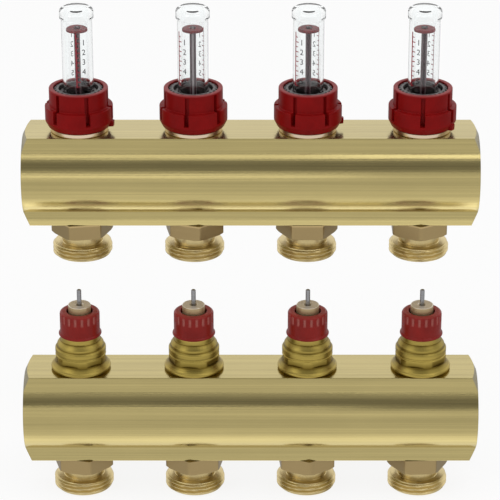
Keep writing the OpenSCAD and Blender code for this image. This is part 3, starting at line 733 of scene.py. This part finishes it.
class MANIFOLD_OT_nipples(bpy.types.Operator):
    """Makes the threaded outlet nipples under both bars"""

    bl_idname = "manifold.nipples"
    bl_label = "Outlet nipples"

    def execute(self, context):
        turns = {"supply": (39, 10, 30, 0), "return": (15, 50, 5, 33)}
        seat_bore = {"supply": 6.25, "return": 4.0}
        for bar in BARS:
            shape, hexagon_shade = nipple_shape(seat_bore[bar])
            make_four(f"{bar}_nipples_threaded", bar, shape, turns[bar], "nipple_brass", f"{bar}_nipples", hexagon_shade)
        return {"FINISHED"}


# Flow meters


def collar_shape():
    """A lock collar as one closed surface, and a mask of its top rim, which is painted paler as a painted highlight.

    Its radius depends on height and, at slots, lug and ribs, on angle: each of them is a product of ramps over height
    and angle, by which the outline's radius changes to the slot's floor, the lug's crest or the rib's.
    """
    bore, upper, skirt, lug_r, floor_r = 10.9, 12.9, 14.85, 15.65, 11.6
    foot, top, skirt_top, slot_foot, slot_top = 23.0, 40.3, 32.1, 26.7, 39.3
    half_slot, half_lug, half_rib, soft = np.radians([3.75, 4.6, 2.1, 0.35])
    soft_h, lug_h, rib_h = 0.12, 2.8, 0.9
    near = np.array([-half_lug - soft, -half_lug, -half_slot - soft, -half_slot, -half_slot + soft, 0.0,
                     half_slot - soft, half_slot, half_slot + soft, half_lug, half_lug + soft])
    ribs = SIXTH / 2 + np.array([-half_rib - soft, -half_rib, half_rib, half_rib + soft])
    fill = np.linspace(half_lug + soft, SIXTH - half_lug - soft, 22)[1:-1]
    one = np.unique(np.concatenate([near, ribs, fill]).round(6))
    theta = np.sort(np.concatenate([one + k * SIXTH for k in range(6)]))
    off_slot = np.abs(off_sixth(theta))
    off_lug = np.abs((theta + math.pi) % (2 * math.pi) - math.pi)
    in_slot, in_rib, in_lug = (ramped(half + soft / 2 - off, soft) for half, off in (
        (half_slot, off_slot), (half_rib, SIXTH / 2 - off_slot), (half_lug, off_lug)))

    outer = fillet([(bore, foot, 0.3), (skirt - 1.3, foot, 0.35), (skirt, foot + 2.6, 0.8), (skirt, skirt_top, 0.3),
                    (upper, skirt_top + 0.15, 0.4), (upper, top, 0.45), (bore, top, 0.35)])
    outer = with_rows(outer, (slot_foot - soft_h, slot_foot + soft_h, slot_top - soft_h, slot_top + soft_h,
                              foot + 0.3, foot + lug_h - 0.1, foot + lug_h + 0.1), upper - 0.02)
    r, z = outer[:, :1], outer[:, 1:]
    slot = ramped(z - slot_foot + soft_h / 2, soft_h) * ramped(slot_top + soft_h / 2 - z, soft_h)
    slot = slot * (r > bore + 0.6) * in_slot
    lug = ramped(foot + lug_h - z, 0.1) * (r > upper) * ramped(z - foot - 0.02, 0.3) * in_lug
    rib = rib_h * ((r < bore + 0.02) & (z > foot + 1) & (z < top - 1)) * in_rib
    # The top rim's painted highlight.
    rim = ramped(z - top + 0.5, 0.4)
    r = r * (1 - slot) + np.minimum(r, floor_r) * slot
    r = r * (1 - lug) + lug_r * lug - rib
    return turned(r, z, theta), np.repeat(rim, len(theta))


def glass_shape():
    """A sight glass: a tube closed by a wider, rounded cap, turned from one outline."""
    outer, inner, cap, foot, cap_foot, top, crown = 6.7, 5.4, 7.35, 33.2, 71.9, 76.5, 1.6
    return turned_outline([
        (0.0, top - crown, 0.0), (inner, top - crown, 1.0), (inner, foot, 0.2), (outer, foot, 0.2),
        (outer, cap_foot - 0.65, 0.5), (cap, cap_foot, 0.5), (cap, top, 2.6), (0.0, top, 0.0)], 96, 8, close=False)


def ring_shape():
    """An adjusting ring as one closed surface: hub, web, socket for the glass, and a toothed rim.

    The rim's radius rises to a straight-sided tooth every 15 degrees, and the teeth fade out over its rounded edges.
    """
    hub_bore, hub, rim_bore, rim, tooth_h, edge = 3.8, 5.2, 8.6, 9.7, 0.9, 0.35
    socket_bore, socket = 6.75, 8.0
    hub_foot, web_foot, web_top, rim_foot, rim_top, socket_top = 20.0, 31.0, 33.2, 23.5, 39.9, 38.5
    outline = fillet([
        (hub_bore, hub_foot, 0.0), (hub, hub_foot, 0.0), (hub, web_foot, 0.0), (rim_bore, web_foot, 0.0),
        (rim_bore, rim_foot, 0.0), (rim, rim_foot, edge), (rim, rim_top, edge), (rim_bore, rim_top, 0.3),
        (rim_bore, web_top, 0.2), (socket, web_top, 0.2), (socket, socket_top, 0.25), (socket_bore, socket_top, 0.25),
        (socket_bore, web_top, 0.0), (hub_bore, web_top, 0.2)], steps=3)
    count, pitch, half, soft = 24, *np.radians([15, 3.5, 0.6])
    one = np.array([-pitch / 2, -half - soft, -half, 0.0, half, half + soft])
    theta = np.concatenate([one + (k + 0.5) * pitch for k in range(count)])
    tooth = np.tile([0.0, 0.0, 1.0, 1.0, 1.0, 0.0], count)
    r, z = outline[:, :1], outline[:, 1:]
    return turned(r + tooth_h * ramped(r - rim + edge, edge) * tooth, z, theta)


def rod_shape():
    """An indicator rod as one closed surface, and a mask of the edges of its fins, where a painted highlight goes.

    Water plate, round stem, spring collar and four fins follow each other as rows. Across the fins the radius is the
    rod's own, or the distance to the side of the nearest fin where that is less.
    """
    stem, fin, plate, collar, count, tip_share = 1.4, 0.45, 4.8, 3.2, 4, 0.88
    plate_foot, plate_top, collar_foot, collar_top, tip = -12.6, -11.4, 34.0, 35.0, 67.8
    across = np.linspace(math.sqrt(stem**2 - fin**2), fin, 6)
    side = np.arctan2(fin, across)
    one = np.concatenate([-side[::-1][1:], [0.0], side])
    theta = np.concatenate([one + k * math.pi / 2 for k in range(count)])
    finned = np.tile(np.minimum(stem, fin / np.maximum(np.abs(np.sin(one)), 0.01)), count)
    rows = [(0, plate_foot), (plate, plate_foot), (plate, plate_top), (stem, plate_top), (stem, collar_foot),
            (collar, collar_foot), (collar, collar_top), (finned, collar_top), (finned, tip - 0.2),
            (tip_share * finned, tip), (0, tip)]
    on_edge = np.tile(np.abs(one) < side[0] + 0.01, count)
    mask = np.array([r is finned for r, _ in rows])[:, None] * on_edge[None, :]
    return turned(*spread_rows(rows, theta), theta, close=False), mask.ravel() * 1.0


def disc_shape():
    """An indicator disc with rounded edges, turned from one outline."""
    bore, disc, foot, top = 1.45, 4.65, 66.1, 67.3
    return turned_outline([(bore, foot, 0.0), (disc, foot, 0.35), (disc, top, 0.35), (bore, top, 0.15)], 72)


def coil_shape(outer_d, wire_d, curls, low, high):
    """A compression spring between two heights: a round wire on a helix with a closed curl at each end.

    The helix climbs by the wire alone over the first and last curl, and evenly between them.
    """
    steps, sides, ease, tight = 28, 10, 1.5, 1.02
    turn = np.linspace(0, curls + 2, (curls + 2) * steps + 1)
    shut = np.clip(ease - np.minimum(turn, turn[-1] - turn) * ease, 0, 1)
    rise = (high - low - wire_d) / turn[-1]
    climb = shut * wire_d * tight + (1 - shut) * rise
    z = np.concatenate([[0], np.cumsum((climb[1:] + climb[:-1]) / 2)])
    z = low + wire_d / 2 + z / z[-1] * (high - low - wire_d)
    angle = 2 * math.pi * turn
    out = np.stack([np.cos(angle), np.sin(angle), 0 * angle], -1)
    run = np.gradient(np.stack([np.cos(angle), np.sin(angle), 2 * z / (outer_d - wire_d)], -1), axis=0)
    run = run / np.linalg.norm(run, axis=1, keepdims=True)
    up = np.cross(run, out)
    b = around(sides)[None, :, None]
    middle = (outer_d - wire_d) / 2 * out + np.stack([0 * z, 0 * z, z], -1)
    wire = middle[:, None] + wire_d / 2 * (np.cos(b) * out[:, None] + np.sin(b) * up[:, None])
    ends = [np.repeat(middle[k][None, None], sides, 1) for k in (0, -1)]
    points = np.concatenate([ends[0], wire, ends[1]])
    return points.reshape(-1, 3), quads(len(points), sides, close_rows=False)


class MANIFOLD_OT_flow_meters(bpy.types.Operator):
    """Makes the lock collars, adjusting rings, sight glasses, indicators and springs of the flow meters"""

    bl_idname = "manifold.flow_meters"
    bl_label = "Flow meters"

    def execute(self, context):
        # Share of the painted highlight on the fin edges at each meter, full where a fin faces the front.
        collar_turns, rod_turns, fin_highlight_shares = (-11, 79, 3, -33), (45, 0, 45, 45), (0.3, 1.0, 0.3, 0.3)
        spring_d, wire_d, curls, spring_foot, spring_top = 6.4, 0.6, 9, -5.0, 34.0
        (collar, rim), glass, ring, (rod, fins) = collar_shape(), glass_shape(), ring_shape(), rod_shape()
        disc, spring = disc_shape(), coil_shape(spring_d, wire_d, curls, spring_foot, spring_top)
        for i, turn, rod_turn, highlight_share in zip(STATIONS, collar_turns, rod_turns, fin_highlight_shares):
            make_pieces("supply", i, (
                ("lock_collar_moulded", "lock_collar", "collar", "collar_red", collar, turn, rim),
                ("adjusting_ring_toothed", "adjusting_ring", "adjuster", "dark_plastic", ring, turn, None),
                ("sight_glass_clear", "sight_glass", "adjuster", "clear_glass", glass, 0, None),
                ("indicator_rod_finned", "indicator_rod", "indicator", "rod_plastic", rod, rod_turn, fins * highlight_share),
                ("indicator_disc_round", "indicator_disc", "indicator", "disc_red", disc, 0, None)))
            make_spring("meter_spring_wound", "supply", i, spring, "meter_springs")
        return {"FINISHED"}


# Scales printed on the sight glasses


def mark_shape(radius, thickness, start, end, low, high):
    """A printed bar on a tube, from one angle to another in degrees and one height to another, as a closed shape."""
    outer, stride = radius + thickness, 4
    theta = np.radians(np.linspace(start, end, max(2, int(abs(end - start) / stride) + 2)))
    corners = [(radius, low), (outer, low), (outer, high), (radius, high)]
    points, sides = turned(*spread_rows(corners, theta), theta, full=False)
    columns = len(theta)
    ends = [[row * columns + k for row in range(len(corners))] for k in (0, columns - 1)]
    return points, np.vstack([sides, ends])


def numeral_shape(text, height, radius, thickness, middle, level):
    """Triangles of a numeral bent round a tube: its width becomes an angle about the middle one, in degrees."""
    font_size = 1.4
    curve = bpy.data.curves.new("numeral", "FONT")
    curve.body = text
    curve.size = height * font_size
    curve.align_x, curve.align_y = "CENTER", "CENTER"
    curve.extrude = thickness / 2
    curve.resolution_u = 3
    holder = new_object("numeral", curve)
    bpy.context.view_layer.update()
    flat = bpy.data.meshes.new_from_object(holder.evaluated_get(bpy.context.evaluated_depsgraph_get()))
    bpy.data.objects.remove(holder)
    flat.calc_loop_triangles()
    points = np.empty(len(flat.vertices) * 3)
    flat.vertices.foreach_get("co", points)
    x, y, depth = points.reshape(-1, 3).T
    faces = np.empty(len(flat.loop_triangles) * 3, int)
    flat.loop_triangles.foreach_get("vertices", faces)
    bpy.data.meshes.remove(flat)
    angle = np.radians(middle) + x / radius
    r = radius + thickness / 2 + depth
    return np.stack([r * np.cos(angle), r * np.sin(angle), level + y], -1), faces.reshape(-1, 3)


class MANIFOLD_OT_scales(bpy.types.Operator):
    """Prints two scales on each sight glass: a red line with ticks, and dark numerals that count down the tube"""

    bl_idname = "manifold.scales"
    bl_label = "Printed scales"

    def execute(self, context):
        step, thick = size("scale_step"), size("print_h")
        radius, zero, numerals, ticks = 6.72, 66.7, 5, 11
        facing = (-93.0, -152.0, -148.0, -146.0)
        line_w, long_tick, short_tick, half_tick, numeral_off = 5, 12, 8, 0.2, 31
        for i, front in zip(STATIONS, facing):
            reds, darks = [], []
            for line in (front, front + 180.0):
                start = line + line_w
                reds.append(mark_shape(radius, thick, line, start, zero - (numerals + 0.6) * step, zero))
                for k in range(ticks):
                    level = zero - (k + 1) * step / 2
                    end = start + (long_tick if k % 2 else short_tick)
                    reds.append(mark_shape(radius, thick, start, end, level - half_tick, level + half_tick))
                for k in range(1, numerals + 1):
                    darks.append(numeral_shape(str(k), size("numeral_h"), radius, thick, line + numeral_off,
                                               zero - k * step))
            make_piece(f"scale_lines_{i}", at_station("supply", i, joined(reds)), f"adjuster_{i}", "disc_red",
                       look="red_print")
            make_piece(f"scale_numerals_{i}", at_station("supply", i, joined(darks)), f"adjuster_{i}", "dark_plastic",
                       look="dark_print")
        return {"FINISHED"}


# Valve inserts


def valve_shape():
    """A valve body as one closed turned surface, with six flats below its collar's groove, and a mask of painted
    shade in its inner corners.

    On the rows of the flats the radius is the drum's own, or the distance to the nearest flat where that is less. The
    mask, painted shade that darkens the brass, falls off as a bell curve from each inner corner of the outline.
    """
    bore, shank, seal_r, foot, top = 6.9, 10.45, 11.6, 14.4, 36.7
    flange, drum, flats, groove, step, strip = 13.1, DRUM_R, 20.8, 10.8, 10.25, 8.5
    flat_foot, flat_top = TOP + 4.3, TOP + 6.9
    outline = fillet([
        (bore, top, 0.3), (bore, foot, 0.2), (shank, foot, 0.3), (shank, TOP + 0.9, 0.0), (seal_r, TOP + 0.9, 0.0),
        (seal_r, TOP, 0.0), (flange - 0.8, TOP, 0.2), (flange, TOP + 0.8, 0.5), (flange, TOP + 1.5, 0.5),
        (flange - 0.75, TOP + 2.2, 0.6), (drum + 0.5, TOP + 3.3, 0.6), (drum, TOP + 4.0, 0.3),
        (drum, flat_foot, 0.0), (drum - 0.01, flat_foot + 0.02, 0.0), (drum - 0.01, flat_top - 0.02, 0.0),
        (drum, flat_top, 0.0), (drum, TOP + 7.2, 0.15), (groove, TOP + 7.5, 0.15), (groove, TOP + 8.0, 0.15),
        (drum, TOP + 8.3, 0.15), (drum, TOP + 10.1, 0.25), (drum - 0.5, TOP + 10.6, 0.2), (step, TOP + 11.1, 0.15),
        (step, TOP + 12.0, 0.25), (step - 0.6, TOP + 12.9, 0.3), (strip + 0.57, TOP + 13.6, 0.0),
        (strip + 0.25, TOP + 14.0, 0.2), (strip, TOP + 14.25, 0.1), (strip, top, 0.35)], steps=3)
    theta = around(144)
    r, z = outline[:, :1], outline[:, 1:]
    on_flat = (z > flat_foot) & (z < flat_top) & (r > shank)
    cut_down = np.minimum(drum, flats / 2 / np.cos(off_sixth(theta)))
    inner = ((drum + 0.1, 4.1, 0.7), (step + 0.15, 10.95, 0.35), (strip + 0.3, 13.9, 0.35))
    # Painted shade, darkest at each inner corner.
    corner_shade = np.max([np.exp(-((np.hypot(r - at_r, z - TOP - at_z) / reach) ** 2)) for at_r, at_z, reach in inner], 0)
    return turned(np.where(on_flat, np.minimum(r, cut_down), r), z, theta), np.repeat(corner_shade, len(theta))


def preset_shape():
    """A presetting ring as one closed turned surface, with short flutes hollowed into its rounded shoulder, and a
    mask of painted highlights in the flutes and, fainter, on its top rim.

    A hollow's depth is a round valley across and rises to nothing at both of its ends along the outline.
    """
    bore, ring, flare, mouth, count, half = 6.75, 8.75, 9.4, 5.75, 18, math.radians(5.0)
    foot, top, lip, shoulder = 36.9, 47.8, 45.4, 2.6
    low, high, depth, sink, rim_highlight_share = top - 4.4, top - 0.5, 0.7, 0.8, 0.15
    outline = fillet([
        (bore, foot, 0.2), (flare, foot, 0.25), (flare, foot + 0.6, 0.25), (ring, foot + 1.25, 0.4),
        (ring, top, shoulder), (mouth, top, 0.3), (mouth, lip, 0.0), (bore, lip, 0.0)], steps=14)
    outline = with_rows(outline, np.linspace(low - 0.1, top - shoulder - 0.2, 8), ring - 0.01)
    step = 2 * math.pi / count
    across = np.linspace(-1, 1, 9)
    theta = np.concatenate([np.append(across * half, step / 2) + k * step for k in range(count)])
    valley = np.tile(np.append(1 - across**2, 0.0), count)
    r, z = outline[:, :1], outline[:, 1:]
    along = (z - low) / (high - low)
    press = np.sqrt(np.clip(1 - (2 * along - 1) ** 2, 0, 1)) * (r > mouth + 0.75)
    lean = ramped(z - top + shoulder, shoulder)
    inwards, down = depth * press * np.sqrt(1 - lean**2 * sink), depth * press * lean * sink
    # Painted highlights in the flutes, and a fainter one on the top rim.
    mask = np.maximum(press * valley, ramped(z - top + 0.5, 0.4) * rim_highlight_share)
    return turned(r - inwards * valley, z - down * valley, theta), mask.ravel()


def gland_shape():
    """A gland nut on a wider lip, turned from one outline, and a mask of its top face, which is painted paler as a
    painted highlight.
    """
    hole, dish, stem, nut, lip = 1.2, 1.9, 5.15, 5.0, 6.0
    foot, lip_foot, lip_top, dish_foot, face, top = 38.5, 43.5, 44.5, 50.1, 50.6, 50.8
    shape = turned_outline([
        (hole, foot, 0.0), (stem, foot, 0.2), (stem, lip_foot, 0.0), (lip, lip_foot, 0.1), (lip, lip_top, 0.2),
        (nut, lip_top, 0.0), (nut, top, 0.45), (dish, top, 0.1), (hole, dish_foot, 0.0)])
    # The top face's mask carries a painted highlight.
    return shape, (shape[0][:, 2] > face) * 1.0


def pin_shape():
    """A valve pin with a rounded tip, turned from one outline."""
    pin, foot, tip = 1.0, 34.1, 57.8
    return turned_outline([(0.0, foot, 0.0), (pin, foot, 0.0), (pin, tip, 0.45), (0.0, tip, 0.0)], 40, close=False)


class MANIFOLD_OT_valves(bpy.types.Operator):
    """Makes the valve bodies, presetting rings, glands, pins and springs of the valve inserts"""

    bl_idname = "manifold.valves"
    bl_label = "Valve inserts"

    def execute(self, context):
        drum_turns = (8, 22, 0, 14)
        spring_d, wire_d, curls, spring_foot, spring_top = 8.4, 1.0, 5, 3.7, 23.9
        (body, corner_shade), (ring, hollow_highlights), (gland, face) = valve_shape(), preset_shape(), gland_shape()
        pin, spring = pin_shape(), coil_shape(spring_d, wire_d, curls, spring_foot, spring_top)
        make_four("valve_bodies_turned", "return", body, drum_turns, "valve_brass", "valve_bodies", corner_shade)
        for i in STATIONS:
            make_pieces("return", i, (
                ("preset_ring_fluted", "preset_ring", "preset", "preset_red", ring, 0, hollow_highlights),
                ("gland_nut_turned", "gland_nut", "preset", "gland_brass", gland, 0, face),
                ("valve_pin_ground", "valve_pin", "pin", "pin_steel", pin, 0, None)))
            make_spring("valve_spring_wound", "return", i, spring, "valve_springs")
        return {"FINISHED"}


# Light, floor and camera

# The camera's place in metres, its pitch in degrees, its focal length and picture in pixels, and its film in mm
CAMERA_PLACE = (-0.0003, -1.0142, 0.4636)
CAMERA_PITCH = -23.64
CAMERA_PIXELS = 2513.0
PHOTO_PIXELS = 500
SENSOR = 36.0

# What polished pieces see of the room, by the sine of the height: in front of the object and behind it
FRONT_ROOM = ((-1.0, 1.5), (-0.96, 1.8), (-0.9, 1.38), (-0.8, 1.1), (-0.7, 1.02), (-0.45, 0.92), (-0.16, 0.85),
              (0.0, 0.88), (0.1, 1.0), (0.26, 1.0), (0.4, 0.5), (0.52, 0.27), (0.72, 0.3), (0.86, 0.5), (1.0, 0.62))
BACK_ROOM = ((-1.0, 1.3), (-0.9, 0.8), (-0.3, 0.45), (0.0, 0.8), (0.2, 1.2), (0.6, 1.15), (1.0, 0.8))
SIDE_ROOM = 0.66
FILL = 0.75
# The world's strength, by which these levels are divided to fit colours of 0 to 1
ROOM_STRENGTH = 2.0

# Each lamp's place, the point that it shines at, its width and height in metres, and its watts
LAMPS = {
    "strip": ((0.1, -0.127, 0.36), (0.1, -0.122, 0), (0.7, 0.08), 0.17),
    "right_strip": ((0.3, -0.14, 0.4), (0.3, -0.135, 0), (0.5, 0.08), 0.08),
    "front_strip": ((-0.17, -0.4, 0.135), (-0.17, 0, 0.09), (0.46, 0.07), 0.06),
    "bounce": ((0, 0.0005, 0.0288), (0, 0.001, 0.0788), (0.2, 0.0094), 0.0027),
    "left_side": ((-1.2, -0.8, 0.9), (0, 0, 0), (0.8, 0.8), 3.0),
    "right_side": ((1.0, -0.7, 1.1), (0, 0, 0), (0.8, 0.8), 1.5),
}


def room_level(tree, direction):
    """How bright the room is to polished pieces in a direction: ramps over height, front and back; sides are dark.

    The front's share grows with how far the direction points forwards, or steeply up or down.
    """
    rear_span, steep_span, front_span = (0.05, 0.5), (0.4, 1.0, 0.0, 0.54), (0.0, 0.45)
    parts = add(tree, "ShaderNodeSeparateXYZ", {"Vector": direction}).outputs
    height = ranged(tree, parts["Z"], -1.0, 1.0)
    levels = []
    for stops in (FRONT_ROOM, BACK_ROOM):
        ramp = add(tree, "ShaderNodeValToRGB", {"Fac": height})
        while len(ramp.color_ramp.elements) < len(stops):
            ramp.color_ramp.elements.new(0.5)
        for element, (z, level) in zip(ramp.color_ramp.elements, stops):
            element.position = (z + 1) / 2
            element.color = (level / ROOM_STRENGTH,) * 3 + (1,)
        levels.append(ramp.outputs["Color"])
    behind = ranged(tree, parts["Y"], *rear_span)
    rear = mixed(tree, behind, (SIDE_ROOM / ROOM_STRENGTH,) * 3, levels[1])
    steep = ranged(tree, reckoned(tree, "ABSOLUTE", parts["Z"]), *steep_span)
    ahead = reckoned(tree, "SUBTRACT", steep, parts["Y"])
    return mixed(tree, ranged(tree, ahead, *front_span), rear, levels[0])


def seen_plainly(tree, rays):
    """Whether a ray comes from the camera or through glass."""
    return reckoned(tree, "MAXIMUM", rays["Is Camera Ray"], rays["Is Transmission Ray"])


def stage_floor():
    """A pale floor, white to the camera and through glass, with a soft shadow; polished pieces see past it."""
    grey, white, white_share, reach, gap = (0.8, 0.8, 0.8, 1), 1.05, 0.8, 6.0, 0.0005
    tree, shader = new_material("stage_floor")
    set_inputs(shader, {"Base Color": grey, "Roughness": 0.9, "Specular IOR Level": 0.0})
    rays = tree.nodes.new("ShaderNodeLightPath").outputs
    glow = add(tree, "ShaderNodeEmission", values={"Color": (1, 1, 1, 1), "Strength": white})
    share = ranged(tree, seen_plainly(tree, rays), 0.0, 1.0, 0.0, white_share)
    both = add(tree, "ShaderNodeMixShader", {0: share, 1: shader.outputs[0], 2: glow.outputs[0]})
    tree.links.new(both.outputs[0], tree.nodes["Material Output"].inputs["Surface"])
    below = cad_low.z - gap
    mesh = bpy.data.meshes.new("floor")
    mesh.from_pydata([(-reach, -reach, below), (reach, -reach, below), (reach, reach, below), (-reach, reach, below)],
                     [], [(0, 1, 2, 3)])
    mesh.materials.append(finish("stage_floor"))
    floor = new_object("floor", mesh)
    floor.visible_glossy = False


def stage_world():
    """White to the camera and through glass, the room to polished pieces, and an even fill to all else."""
    world = bpy.data.worlds.new("studio")
    bpy.context.scene.world = world
    world.use_nodes = True
    tree = world.node_tree
    direction = tree.nodes.new("ShaderNodeTexCoord").outputs["Generated"]
    rays = tree.nodes.new("ShaderNodeLightPath").outputs
    level = mixed(tree, rays["Is Glossy Ray"], (FILL / ROOM_STRENGTH,) * 3, room_level(tree, direction))
    white = (1 / ROOM_STRENGTH,) * 3
    tree.links.new(mixed(tree, seen_plainly(tree, rays), level, white), tree.nodes["Background"].inputs["Color"])
    set_inputs(tree.nodes["Background"], {"Strength": ROOM_STRENGTH})


def soft_lamp(name, place, aim, extent, power):
    """A lamp of the given width and height that shines from one place towards another, out of the camera's sight."""
    data = bpy.data.lights.new(name, "AREA")
    data.shape = "RECTANGLE"
    data.size, data.size_y = extent
    data.energy = power
    lamp = new_object(name, data)
    x, y, z = np.subtract(aim, place)
    lamp.location = place
    lamp.rotation_euler = (math.atan2(math.hypot(x, y), -z), 0, math.atan2(y, x) - math.pi / 2)
    lamp.visible_camera = False


class MANIFOLD_OT_stage(bpy.types.Operator):
    """Sets the floor, the light and the camera"""

    bl_idname = "manifold.stage"
    bl_label = "Stage"

    def execute(self, context):
        stage_floor()
        stage_world()
        for name, settings in LAMPS.items():
            soft_lamp(name, *settings)
        data = bpy.data.cameras.new("camera")
        data.sensor_width = SENSOR
        data.lens = CAMERA_PIXELS / PHOTO_PIXELS * SENSOR
        camera = new_object("camera", data)
        camera.location = CAMERA_PLACE
        camera.rotation_euler = (math.radians(90 + CAMERA_PITCH), 0, 0)
        context.scene.camera = camera
        context.scene.view_settings.view_transform = "Standard"
        return {"FINISHED"}


class MANIFOLD_PT_panel(bpy.types.Panel):
    """Lists the pieces and their sizes and colours"""

    bl_idname = "MANIFOLD_PT_panel"
    bl_label = "Heating manifold"
    bl_space_type = "VIEW_3D"
    bl_region_type = "UI"
    bl_category = "Manifold"

    def draw(self, context):
        for group in (context.scene.manifold_sizes, context.scene.manifold_colours):
            for name in group.bl_rna.properties.keys():
                if name not in ("rna_type", "name"):
                    self.layout.prop(group, name)
        for operator in OPERATORS:
            self.layout.operator(operator.bl_idname)


OPERATORS = (
    MANIFOLD_OT_finishes,
    MANIFOLD_OT_bars,
    MANIFOLD_OT_nipples,
    MANIFOLD_OT_flow_meters,
    MANIFOLD_OT_scales,
    MANIFOLD_OT_valves,
    MANIFOLD_OT_stage,
)
CLASSES = (ManifoldSizes, ManifoldColours, *OPERATORS, MANIFOLD_PT_panel)


def register():
    """Registers the classes and the scene's settings."""
    for cls in CLASSES:
        bpy.utils.register_class(cls)
    bpy.types.Scene.manifold_sizes = bpy.props.PointerProperty(type=ManifoldSizes)
    bpy.types.Scene.manifold_colours = bpy.props.PointerProperty(type=ManifoldColours)


def unregister():
    """Takes the settings and the classes away again."""
    del bpy.types.Scene.manifold_colours
    del bpy.types.Scene.manifold_sizes
    for cls in reversed(CLASSES):
        bpy.utils.unregister_class(cls)


def main():
    """Makes every piece and the stage."""
    register()
    bpy.ops.manifold.finishes()
    bpy.ops.manifold.bars()
    bpy.ops.manifold.nipples()
    bpy.ops.manifold.flow_meters()
    bpy.ops.manifold.scales()
    bpy.ops.manifold.valves()
    bpy.ops.manifold.stage()


if __name__ == "__main__":
    main()
